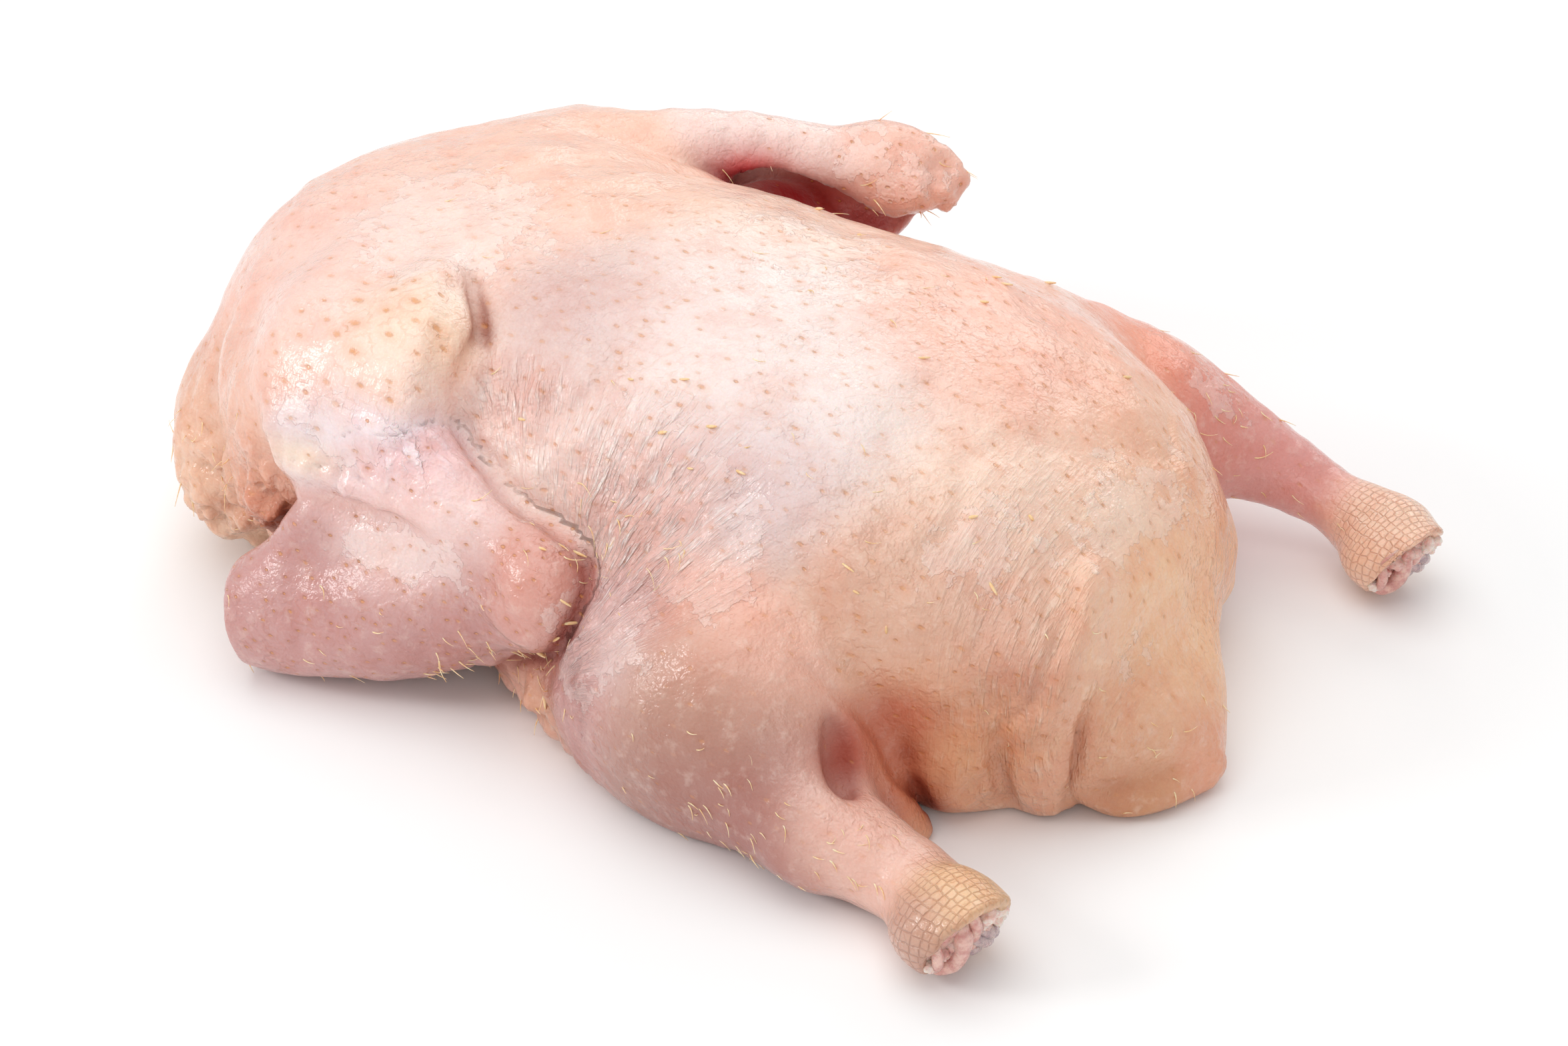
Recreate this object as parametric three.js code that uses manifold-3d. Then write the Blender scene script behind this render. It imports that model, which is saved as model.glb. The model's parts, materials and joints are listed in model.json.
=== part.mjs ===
// A plucked whole duck lying on its breast, back up: head, neck, feet and wing tips are off.
// Millimetres, +X to the tail, +Z up, near side -Y, resting on z = 0.
// Every lobe is a closed three.js geometry, and manifold-3d joins them to one solid.
import * as THREE from 'three';
import Module from 'manifold-3d';
import { LoftGeometry } from 'three/addons/geometries/LoftGeometry.js';
import { ConvexGeometry } from 'three/addons/geometries/ConvexGeometry.js';
import * as BufferGeometryUtils from 'three/addons/utils/BufferGeometryUtils.js';

const wasm = await Module();
wasm.setup();

// ---- Driving dimensions ------------------------------------------------------------------

const NEAR = -1;
const FAR = 1;

const trunk = {
  front: -153,          // neck end
  length: 284,
  halfWidth: 74,        // at the waist behind the wings
  shoulderSpread: 11,   // extra half width at the shoulders
  thighSpread: 4,       // extra half width over the thighs
  backHeight: 104,
  backFall: 35,         // how far the back drops towards the tail
  endHeight: 37,        // height that both ends round in to
  bellyLift: 27,        // height that the belly rises to at both ends
  bellySink: 3.5,       // how far the soft belly would reach below the table
  squareness: 2.3,      // exponent of the superellipse cross-section
};

const tail = {
  root: 83,
  length: 68,
  halfWidth: 55,
  rootHeight: 81,
  tipHeight: 11,
  sideways: -10,        // the tip lies this far to the near side
  squareness: 2.5,
};

// The end of the neck skin, tucked under on the near side, and the full breast over it
const neckSkin = { middle: [-129, -40, 31], radii: [22, 33, 31] };
const crop = { middle: [-115, -6, 65], radii: [30, 44, 30] };

const shoulder = { middle: [-85, 53, 61], radii: [30, 35, 39] };
const shoulderFold = { middle: [-67, 51, 81], radii: [13, 19, 15] };
const farShoulderSink = 6;  // the far shoulder lies lower than the near one
const shoulderLip = { middle: [-60, -59, 77], radii: [21.5, 20, 20] };

// Loose skin that fills the corner between elbow, thigh and table
const flankSkin = { middle: [-4, -68, 13], radii: [30, 18, 16] };

const rump = {
  near: { middle: [94, -48.2, 18.5], radii: [18, 20, 20], turn: 32 },
  far: { middle: [101, 44, 24], radii: [24, 22, 26] },
};

// Stations are [x, y, z, radius] along a roll of skin or along the bone of a limb.
// The roll along the near shoulder's edge, the one behind the rump's bulge, and the one under the tail
const shoulderRoll = [[-61, -38, 94, 4], [-56.5, -45, 91.5, 6.5], [-53, -53, 90, 8], [-50.5, -60, 87, 8],
  [-49, -66, 83, 7.5], [-47, -71, 79, 5]];
const rumpPleat = [[116, -29, 58, 6], [117, -39.5, 45, 9], [117, -46, 30, 10], [116.5, -43.5, 16, 9.8],
  [116, -39, 3, 9]];
const tailLip = [[128, -33, 6, 6], [134, -33, 6, 6.5], [140, -28, 6, 6], [145, -19, 6, 5], [148, -9, 8, 4.5]];

// The sheet of skin between the near drumstick and the rump, and what backs it
const legSheet = { corners: [[73, -74, 44], [92, -90, 14], [95, -70, 2]], half: 2 };
const legPad = [[64, -73, 46, 8], [73, -73, 37, 8], [81, -73, 24, 7.5], [87, -72, 12, 7.5], [94, -70, -3, 7]];

const nearLeg = {
  thigh: { middle: [41, -74, 25], radii: [42, 36, 37], turn: -6 },
  shank: [[50, -80, 26, 25], [66, -89, 22, 20], [82, -97, 17, 15.5], [97, -98.5, 14, 12.5],
    [111, -100, 12, 11], [121, -105, 12.2, 11.6], [129, -109.5, 12.6, 13], [138, -112.8, 12.8, 13],
    [147, -116, 13, 13]],
  cut: { middle: [133.8, -111.6, 12.5], facing: [0.878, -0.247, -0.411] },
};
const farLeg = {
  thigh: { middle: [46, 70, 29], radii: [53, 34, 39], turn: 6 },
  shank: [[54, 72, 36, 27], [72, 80, 37, 24], [90, 89, 32.5, 17.5], [107, 96, 26, 11.5],
    [125, 99, 18.5, 9], [138, 97, 14.8, 10.5], [148, 93, 13, 12.4], [158, 88, 12.7, 12.6],
    [167, 84, 12.7, 12.6]],
  cut: { middle: [154.8, 88.6, 12.5], facing: [0.832, -0.213, -0.51] },
};

const nearWing = {
  upperArm: [[-82, -52, 76, 15], [-66, -66, 74, 14.5], [-41, -76, 61, 12.5], [-24, -78, 52, 12.5],
    [-8, -76, 46, 12.5]],
  forearm: [[-8, -76, 46, 12.5], [-29, -79, 32, 16.5], [-57, -87, 22, 18], [-84, -95, 17.5, 16],
    [-94, -98, 16, 12]],
  elbow: [
    { middle: [-8, -76, 46], radii: [12.5, 12.5, 12.5] },
    { middle: [-8.5, -83.5, 44], radii: [13.5, 13, 15] },
  ],
  front: [-85, -83, 68],        // where the front web leaves the shoulder
  notch: [-73, -89, 52],        // the hollow in the web's front edge
  lead: [-86, -96, 26],         // the web's end on the wrist
  webHalf: 5.5,
};
const farWing = {
  upperArm: [[-84, 50, 80, 14], [-64, 66, 85, 13], [-40, 82, 86, 9], [-11, 98, 78, 10]],
  forearm: [[-11, 98, 78, 10], [-29, 106, 60, 13], [-59, 110, 44, 14], [-86, 112, 27, 12], [-94, 113, 22, 9]],
  elbow: [{ middle: [-15, 97, 83], radii: [12, 9, 10] }, { middle: [0, 99, 79], radii: [9, 7, 7] }],
  front: [-85, 88, 70],
  notch: [-73, 98, 55],
  lead: [-90, 110, 34],
  webHalf: 4,
};
// The hollow under the far wing, between its upper arm and the body
const farHollow = [[-58, 66, 86, 3], [-43, 76, 81, 6], [-32, 83, 75, 8], [-19, 91, 69, 8], [-6, 96, 64, 6]];

// How far two lobes of skin and fat run into each other
const thighBlend = 24;
const softBlend = 14;
const creaseBlend = 4;

const bodyStations = 46;
const bodySides = 60;
const limbStations = 12;
const limbSides = 16;
const ballAround = 16;
const ballRings = 10;

const skin = new THREE.MeshStandardMaterial({ name: 'skin', color: 0xe8bda2, roughness: 0.45, metalness: 0 });

// ---- Joining and cutting -----------------------------------------------------------------

function solid(geometry) {
  const bare = new THREE.BufferGeometry().copy(geometry);
  bare.deleteAttribute('normal');
  bare.deleteAttribute('uv');
  const merged = BufferGeometryUtils.mergeVertices(bare, 1e-4);
  const mesh = new wasm.Mesh({
    numProp: 3,
    vertProperties: new Float32Array(merged.attributes.position.array),
    triVerts: new Uint32Array(merged.index.array),
  });
  return new wasm.Manifold(mesh);
}

function toGeometry(body) {
  const mesh = body.getMesh();
  const geometry = new THREE.BufferGeometry();
  geometry.setAttribute('position', new THREE.BufferAttribute(mesh.vertProperties, 3));
  geometry.setIndex(new THREE.BufferAttribute(mesh.triVerts, 1));
  return geometry;
}

function joined(bodies) {
  return bodies.reduce((whole, body) => whole.add(body));
}

// ---- The blended lobes -------------------------------------------------------------------
// Each function gives roughly how far a point is outside a lobe, and less than 0 inside it.

function smoothMin(a, b, k) {
  const h = THREE.MathUtils.clamp(0.5 + (0.5 * (b - a)) / k, 0, 1);
  return b + (a - b) * h - k * h * (1 - h);
}

function bell(x, middle, width) {
  return Math.exp(-(((x - middle) / width) ** 2));
}

function lobeGap(point, { middle, radii, turn = 0 }, side = 1) {
  const away = point.clone().sub(new THREE.Vector3(middle[0], side * middle[1], middle[2]));
  away.applyAxisAngle(new THREE.Vector3(0, 0, 1), -THREE.MathUtils.degToRad(turn));
  const scaled = away.clone().divide(new THREE.Vector3(...radii));
  const steep = scaled.clone().divide(new THREE.Vector3(...radii)).length();
  return (scaled.length() * (scaled.length() - 1)) / Math.max(steep, 1e-9);
}

// A round roll through its stations
function rollGap(point, stations) {
  let gap = Infinity;
  for (let i = 1; i < stations.length; i += 1) {
    const [start, end] = [stations[i - 1], stations[i]];
    const line = new THREE.Line3(new THREE.Vector3(...start), new THREE.Vector3(...end));
    const t = line.closestPointToPointParameter(point, true);
    const away = line.at(t, new THREE.Vector3()).distanceTo(point);
    gap = Math.min(gap, away - THREE.MathUtils.lerp(start[3], end[3], t));
  }
  return gap;
}

// A superellipse cross-section between the heights low and high
function sectionGap(point, y, halfWidth, low, high, squareness) {
  const half = (high - low) / 2;
  const across = Math.abs(point.y - y) / halfWidth;
  const up = Math.abs(point.z - (low + high) / 2) / half;
  return ((across ** squareness + up ** squareness) ** (1 / squareness) - 1) * Math.min(halfWidth, half);
}

function trunkGap(point) {
  const t = THREE.MathUtils.clamp((point.x - trunk.front) / trunk.length, 0.004, 0.996);
  // 0 at both ends of the trunk and 1 over most of its length
  const round = (1 - Math.abs(2 * t - 1) ** 4) ** (1 / 3);
  const spread = trunk.shoulderSpread * bell(t, 0.2, 0.13) + trunk.thighSpread * bell(t, 0.8, 0.15);
  const back = trunk.backHeight - trunk.backFall * t ** 6;
  const high = trunk.endHeight + (back - trunk.endHeight) * round;
  const low = trunk.bellyLift - (trunk.bellyLift + trunk.bellySink) * round;
  const gap = sectionGap(point, 0, (trunk.halfWidth + spread) * round, low, high, trunk.squareness);
  return Math.max(gap, Math.abs(point.x - (trunk.front + trunk.length * t)));
}

function tailMiddle(s) {
  return tail.sideways * (0.4 + s);
}

// The tail narrows to a drooping point whose underside lies on the table
function tailGap(point) {
  const s = THREE.MathUtils.clamp((point.x - tail.root) / tail.length, 0, 0.99);
  const halfWidth = tail.halfWidth * (1 - s ** 2.2) ** 0.8;
  const high = tail.tipHeight + (tail.rootHeight - tail.tipHeight) * (1 - s) ** 0.75;
  const gap = sectionGap(point, tailMiddle(s), halfWidth, -2 + 4 * s ** 4, high, tail.squareness);
  return Math.max(gap, Math.abs(point.x - (tail.root + tail.length * s)));
}

function bodyGap(point) {
  let gap = smoothMin(trunkGap(point), tailGap(point), softBlend);
  gap = smoothMin(gap, lobeGap(point, neckSkin), softBlend);
  gap = smoothMin(gap, lobeGap(point, crop), softBlend);
  for (const side of [NEAR, FAR]) {
    const level = point.clone();
    if (side === FAR) level.z += farShoulderSink;
    gap = smoothMin(gap, lobeGap(level, shoulder, side), softBlend);
    gap = smoothMin(gap, lobeGap(level, shoulderFold, side), creaseBlend);
  }
  gap = smoothMin(gap, lobeGap(point, shoulderLip), creaseBlend);
  gap = smoothMin(gap, rollGap(point, shoulderRoll), creaseBlend);
  gap = smoothMin(gap, lobeGap(point, flankSkin), softBlend);
  gap = smoothMin(gap, lobeGap(point, rump.near), creaseBlend);
  gap = smoothMin(gap, rollGap(point, rumpPleat), creaseBlend);
  gap = smoothMin(gap, rollGap(point, tailLip), creaseBlend);
  gap = smoothMin(gap, rollGap(point, legPad), creaseBlend);
  gap = smoothMin(gap, lobeGap(point, rump.far), creaseBlend);
  gap = smoothMin(gap, lobeGap(point, nearLeg.thigh), thighBlend);
  return smoothMin(gap, lobeGap(point, farLeg.thigh), thighBlend);
}

// ---- Shapes ------------------------------------------------------------------------------

function loft(sections) {
  return solid(new LoftGeometry(sections, { closed: true, capStart: true, capEnd: true }));
}

// From a start inside the bird, the outermost point along a direction that is still skin
function skinPoint(start, direction) {
  let reach = 150;
  const point = start.clone();
  for (let step = 0; step < 120; step += 1) {
    point.copy(start).addScaledVector(direction, reach);
    const gap = bodyGap(point);
    if (gap < 0.05) break;
    reach = Math.max(reach - Math.max(0.5 * gap, 0.1), 0.5);
  }
  return point;
}

// Trunk, tail, thighs, shoulders and folds as one loft: rays from the middle of each cross-section
// find its outline
function bodySolid() {
  const front = trunk.front + 0.8;
  const back = tail.root + 0.985 * tail.length;
  const sections = [];
  for (let i = 0; i < bodyStations; i += 1) {
    const swing = Math.cos((Math.PI * i) / (bodyStations - 1));
    const x = (front + back) / 2 - ((back - front) / 2) * swing;
    const s = THREE.MathUtils.clamp((x - tail.root) / tail.length, 0, 1);
    const middle = new THREE.Vector3(x, tailMiddle(s) * Math.min(1, 2 * s), THREE.MathUtils.lerp(32, 5, s));
    const outline = [];
    for (let j = 0; j < bodySides; j += 1) {
      const angle = (2 * Math.PI * j) / bodySides;
      outline.push(skinPoint(middle, new THREE.Vector3(0, Math.cos(angle), Math.sin(angle))));
    }
    sections.push(outline);
  }
  return loft(sections);
}

// A round limb along a smooth curve through its stations, with both ends cut flat
function limb(stations) {
  const curve = new THREE.CatmullRomCurve3(stations.map(([x, y, z]) => new THREE.Vector3(x, y, z)));
  const radii = new THREE.CatmullRomCurve3(stations.map(([, , , r], i) => new THREE.Vector3(i, r, 0)));
  const frames = curve.computeFrenetFrames(limbStations - 1);
  const sections = [];
  for (let i = 0; i < limbStations; i += 1) {
    const t = curve.getUtoTmapping(i / (limbStations - 1));
    const middle = curve.getPoint(t);
    const radius = radii.getPoint(t).y;
    const ring = [];
    for (let j = 0; j < limbSides; j += 1) {
      const angle = (2 * Math.PI * j) / limbSides;
      const point = middle.clone();
      point.addScaledVector(frames.normals[i], radius * Math.cos(angle));
      point.addScaledVector(frames.binormals[i], radius * Math.sin(angle));
      ring.push(point);
    }
    sections.push(ring);
  }
  return loft(sections);
}

// A shank ends in a slanting cut through the hock
function shank({ shank: stations, cut }) {
  const block = new THREE.BoxGeometry(60, 60, 60).translate(0, 0, 30);
  const turn = new THREE.Quaternion();
  turn.setFromUnitVectors(new THREE.Vector3(0, 0, 1), new THREE.Vector3(...cut.facing).normalize());
  block.applyQuaternion(turn);
  block.translate(...cut.middle);
  return limb(stations).subtract(solid(block));
}

// The convex solid round some balls
function hull(balls) {
  const points = [];
  for (const ball of balls) {
    const places = ball.attributes.position;
    for (let i = 0; i < places.count; i += 1) {
      points.push(new THREE.Vector3().fromBufferAttribute(places, i));
    }
  }
  return solid(new ConvexGeometry(points));
}

// An elbow runs round its two knobs
function elbowSolid(knobs) {
  return hull(knobs.map(({ middle, radii }) => (
    new THREE.SphereGeometry(1, ballAround, ballRings).scale(...radii).translate(...middle)
  )));
}

// A web of skin: the convex sheet round equal balls at its three corners
function web(corners, half) {
  return hull(corners.map((corner) => new THREE.IcosahedronGeometry(half, 1).translate(...corner)));
}

function wing({ upperArm, forearm, elbow, front, notch, lead, webHalf }) {
  const root = upperArm[1].slice(0, 3);
  const joint = forearm[0].slice(0, 3);
  return joined([
    limb(upperArm),
    limb(forearm),
    elbowSolid(elbow),
    web([front, root, joint], webHalf),
    web([front, notch, joint], webHalf),
    web([notch, lead, joint], webHalf),
  ]);
}

// ---- The duck ----------------------------------------------------------------------------

function duckBody() {
  const legs = [shank(nearLeg), shank(farLeg), web(legSheet.corners, legSheet.half)];
  const hollowWing = wing(farWing).subtract(limb(farHollow));
  const whole = joined([bodySolid(), ...legs, wing(nearWing), hollowWing]);
  // Everything below the table goes, which leaves the flat patches that it rests on.
  const below = new THREE.BoxGeometry(500, 500, 40).translate(0, 0, -20);
  return whole.subtract(solid(below));
}

const duckGeometry = toGeometry(duckBody());

// The origin is the middle of the bounding box's underside.
duckGeometry.computeBoundingBox();
const box = duckGeometry.boundingBox;
duckGeometry.translate(-(box.min.x + box.max.x) / 2, -(box.min.y + box.max.y) / 2, -box.min.z);
duckGeometry.computeVertexNormals();

const group = new THREE.Group();
const duck = new THREE.Mesh(duckGeometry, skin);
duck.name = 'duck';
group.add(duck);

export default group;
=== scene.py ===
"""A plucked whole duck lying on its breast: skin, cut hocks and wrists, quills and hairs, in a pale studio.

Laid out as a Blender add-on. Places and sizes of the anatomy are millimetres along the bird:
+X to the tail, -Y the near side, +Z up, and placed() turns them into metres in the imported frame.
"""

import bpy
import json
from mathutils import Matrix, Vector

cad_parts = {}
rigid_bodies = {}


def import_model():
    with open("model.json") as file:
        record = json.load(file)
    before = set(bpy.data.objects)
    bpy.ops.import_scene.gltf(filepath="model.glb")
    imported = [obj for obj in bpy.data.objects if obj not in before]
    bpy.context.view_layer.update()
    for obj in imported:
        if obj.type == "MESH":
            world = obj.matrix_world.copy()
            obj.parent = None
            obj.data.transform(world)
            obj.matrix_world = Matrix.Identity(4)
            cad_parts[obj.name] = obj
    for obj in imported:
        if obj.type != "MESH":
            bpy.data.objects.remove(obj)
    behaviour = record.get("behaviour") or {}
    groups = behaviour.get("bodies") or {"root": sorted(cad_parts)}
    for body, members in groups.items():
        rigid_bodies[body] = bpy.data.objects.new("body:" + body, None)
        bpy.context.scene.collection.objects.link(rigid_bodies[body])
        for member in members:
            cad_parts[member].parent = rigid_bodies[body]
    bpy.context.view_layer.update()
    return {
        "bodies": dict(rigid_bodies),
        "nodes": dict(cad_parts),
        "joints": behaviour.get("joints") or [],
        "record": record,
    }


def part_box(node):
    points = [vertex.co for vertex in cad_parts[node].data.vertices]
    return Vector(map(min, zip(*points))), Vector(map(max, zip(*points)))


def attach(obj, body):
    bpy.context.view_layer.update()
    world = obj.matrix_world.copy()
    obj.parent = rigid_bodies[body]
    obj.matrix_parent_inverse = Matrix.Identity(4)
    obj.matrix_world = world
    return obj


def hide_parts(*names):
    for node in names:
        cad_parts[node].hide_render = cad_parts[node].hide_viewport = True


bl_info = {
    "name": "Whole Duck",
    "version": (1, 0, 0),
    "blender": (4, 5, 0),
    "location": "View3D > Sidebar > Duck",
    "description": "Builds a plucked whole duck and the pale studio that it lies in",
    "category": "Add Mesh",
}

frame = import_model()

import json
import math
from concurrent.futures import ThreadPoolExecutor
from functools import cache
from itertools import product

import bpy
import numpy as np
from mathutils import Matrix, Vector
from mathutils.kdtree import KDTree

BOX_LOW, BOX_HIGH = (np.array(corner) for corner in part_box("duck"))

NEAR, FAR = -1, 1

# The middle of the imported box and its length, both along the bird in mm
BIRD_MIDDLE = np.array((5.215, 0.252, 0.0))
BIRD_LENGTH = 314.831
# The point on the table that the camera looks at
CAMERA_TARGET = (-7.4, 32.2, 0)

# The room in which the skin is looked for, mm
SEARCHED = ((-178.0, -146.0, -5.0), (182.0, 142.0, 118.0))

# ---- Anatomy, mm -----------------------------------------------------------------------------

# The trunk, half as wide as TRUNK_HALF says, spreads at shoulders and thighs, and its back falls to the tail
TRUNK_FRONT, TRUNK_LENGTH, TRUNK_HALF = -153.0, 284.0, 74.0
SHOULDER_SPREAD, THIGH_SPREAD = 11.0, 4.0
BACK_HEIGHT, BACK_FALL, END_HEIGHT = 104.0, 35.0, 37.0
BELLY_LIFT, BELLY_SINK = 27.0, 3.5

# The tail tapers and swings to the near side
TAIL_ROOT, TAIL_LENGTH, TAIL_HALF = 83.0, 68.0, 55.0
TAIL_ROOT_HEIGHT, TAIL_TIP_HEIGHT, TAIL_SIDEWAYS = 81.0, 11.0, -10.0

# Lobes of the body: the middle, the reach along each axis, and the turn about Z in degrees where there is one
NECK_SKIN = ((-129, -40, 31), (22, 33, 31))
CROP = ((-115, -6, 65), (30, 44, 30))
SHOULDER = ((-85, 53, 61), (30, 35, 39))
SHOULDER_FOLD = ((-67, 51, 81), (13, 19, 15))
FLANK_SKIN = ((-4, -68, 13), (30, 18, 16))
RUMP_NEAR = ((94, -48.2, 18.5), (19.5, 20, 21), 32)
RUMP_HEEL = ((104.5, -44, 9), (10, 8.5, 13), 32)
RUMP_FAR = ((101, 44, 24), (24, 22, 26))
SHOULDER_LIP = ((-60, -59, 77), (21.5, 20, 20))
ELBOW_KNOB = ((-8.5, -83.5, 44), (13.5, 13, 15))
FAR_KNOBS = (((-15, 97, 83), (12, 9, 10)), ((0, 99, 79), (9, 7, 7)))
THIGHS = {
    NEAR: ((41, -74, 25), (42, 36, 37), -6),
    FAR: ((46, 70, 29), (53, 34, 39), 6),
}

# Rolls, hollows and limbs are lists of (x, y, z, radius)
# The rolled edge of the near shoulder
SHOULDER_ROLL = [(-64.3, -41, 93.8, 5.5), (-59.8, -48, 92.3, 7.5), (-56.3, -56, 90.8, 9),
                 (-53.8, -63, 87.8, 9), (-52.3, -69, 83.8, 8), (-50.3, -74, 79.8, 5.5)]

# The sheet of skin between drumstick and rump: three corners and half its thickness, its padding and its edge
LEG_WEB = ((73, -74, 44), (92, -90, 14), (95, -70, 2), 2)
LEG_PAD = [(64, -73, 46, 8), (73, -73, 37, 8), (81, -73, 24, 7.5), (87, -72, 12, 7.5), (94, -70, -3, 7)]
LEG_FOLD = [(69, -78, 50, 2.5), (72.5, -80, 45, 3.8), (77, -79, 38, 4.8), (80.5, -76.5, 31, 5),
            (83.5, -75.5, 24, 5), (86, -76, 16, 4.8), (88, -77, 6, 4.2), (89, -77, -3, 4)]
# The roll of skin behind the rump's bulge, and the one along the tail's lower edge
RUMP_PLEAT = [(116, -29, 58, 6), (117, -39.5, 45, 9), (117, -46, 30, 10), (116.5, -43.5, 16, 9.8),
              (116, -39, 3, 9)]
TAIL_LIP = [(128, -33, 6, 6), (134, -33, 6, 6.5), (140, -28, 6, 6), (145, -19, 6, 5), (148, -9, 8, 4.5)]
# The way across the pleat, seen from above
PLEAT_WAY = (0.848, 0.53)
# The dimple in the skin between drumstick and rump, and the hollow under the far wing
POCKET = [(81, -86.5, 39, 1.5), (83, -88.5, 36, 2.8), (85.5, -91, 32, 3.4), (88, -94, 28.5, 3),
          (90.5, -96, 26, 1.6)]
FAR_HOLLOW = [(-58, 66, 86, 3), (-43, 76, 81, 6), (-32, 83, 75, 8), (-19, 91, 69, 8), (-6, 96, 64, 6)]
# The leg and wing bones with their flesh, from the body outwards
SHANKS = {
    NEAR: [(50, -80, 26, 25), (66, -89, 22, 20), (82, -97, 17, 15.5), (97, -98.5, 14, 12.5),
           (111, -100, 12, 11), (121, -105, 12.2, 11.6), (129, -109.5, 12.6, 12.6),
           (138, -112.8, 12.8, 13), (147, -116, 13, 13)],
    FAR: [(54, 72, 36, 27), (72, 80, 37, 24), (90, 89, 32.5, 17.5), (107, 96, 26, 11.5), (125, 99, 18.5, 9),
          (138, 97, 14.8, 10.5), (148, 93, 13, 12), (158, 88, 12.7, 12.6), (167, 84, 12.7, 12.6)],
}
UPPER_ARMS = {
    NEAR: [(-82, -52, 76, 15), (-66, -66, 74, 14.5), (-41, -76, 61, 12.5), (-24, -78, 52, 12.5),
           (-8, -76, 46, 12.5)],
    FAR: [(-84, 50, 80, 14), (-64, 66, 85, 13), (-40, 82, 86, 9), (-11, 98, 78, 10)],
}
FOREARMS = {
    NEAR: [(-8, -76, 46, 12.5), (-29, -79, 32, 16.5), (-57, -87, 22, 18), (-84, -95, 17.5, 16),
           (-94, -98, 16, 12)],
    FAR: [(-11, 98, 78, 10), (-29, 106, 60, 13), (-59, 110, 44, 14), (-86, 112, 27, 12), (-94, 113, 22, 9)],
}
# The web of skin in front of the elbow: where it leaves the shoulder, the hollow in its edge, its end on the
# wrist and half its thickness
WEBS = {
    NEAR: ((-85, -83, 68), (-73, -89, 52), (-86, -96, 26), 5.5),
    FAR: ((-85, 88, 70), (-73, 98, 55), (-90, 110, 34), 4.0),
}
# The slanting cuts through the hocks: the middle, the way they face and their radius
HOCK_CUTS = {
    NEAR: ((133.8, -111.6, 12.5), (0.878, -0.247, -0.411), 12.8),
    FAR: ((154.8, 88.6, 12.5), (0.832, -0.213, -0.51), 12.2),
}
# The knobs of the hock's joint
HOCK_KNOBS = {
    NEAR: (((129, -106, 16.5), (9, 9, 9)), ((125, -116, 13.5), (9, 8, 8.5))),
    FAR: (((150, 95, 17), (9, 9, 9)), ((146, 86, 13), (9, 8, 8.5))),
}

# ---- Furrows and ridges, mm ------------------------------------------------------------------

# Each is a width, a depth, which is below 0 for a ridge, and the points that it passes
BODY_STROKES = (
    # Behind the near shoulder and wing
    (3.2, 2.4, ((4, -80, 53), (8, -85, 45), (7, -89, 34), (2, -90, 22))),
    # In front of the near wing's web, and folds down the neck
    (4.0, 4.5, ((-99, -84, 74), (-93, -86, 68), (-90, -86, 60), (-88, -84, 50), (-88, -82, 38),
                (-89, -80, 26))),
    (5.0, -1.2, ((-127, -50, 84), (-123, -62, 72), (-119, -70, 66), (-117, -74, 56), (-114, -76, 44))),
    (4.0, 0.9, ((-124, -46, 86), (-115, -62, 82), (-106, -77, 78), (-103, -84, 66), (-101, -85, 54))),
    (3.5, 0.9, ((-131, -46, 78), (-130, -56, 68), (-128, -64, 58), (-126, -66, 46))),
    # The notch behind the pleat, and the furrow along the tail's lip
    (4.2, 3.4, ((126.5, -44, 34), (126.5, -46, 28), (126, -48, 20), (125, -48, 14), (123, -46, 6),
                (121, -44, -4))),
    (2.2, 2.2, ((129, -46, 13), (134, -44, 13), (140, -37, 14), (146, -28, 15), (150, -20, 15))),
    # Behind the far shoulder
    (5.5, 6.0, ((-60, 32, 102), (-48, 46, 97), (-40, 54, 90), (-28, 62, 82), (-12, 70, 74), (4, 74, 66))),
)
# The edge of the near wing's web, and the folds under it
NEAR_WING_STROKES = (
    (2.6, -2.4, ((-88, -91, 66), (-82, -92, 63), (-77, -92, 62), (-72, -91, 62), (-65, -90, 61),
                 (-53, -88, 60), (-46, -87, 59), (-37, -87, 57))),
    (4.2, 3.2, ((-84, -91, 57), (-77, -93, 56.5), (-71, -92, 56), (-63, -91, 55.5), (-53, -90, 55),
                (-44, -89, 54), (-34, -89, 53))),
    (3.5, 1.6, ((-22, -92, 50), (-12, -92, 46), (-2, -92, 40))),
    (2.5, 1.2, ((-26, -96, 40), (-14, -96, 35), (-4, -94, 30))),
)
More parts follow.
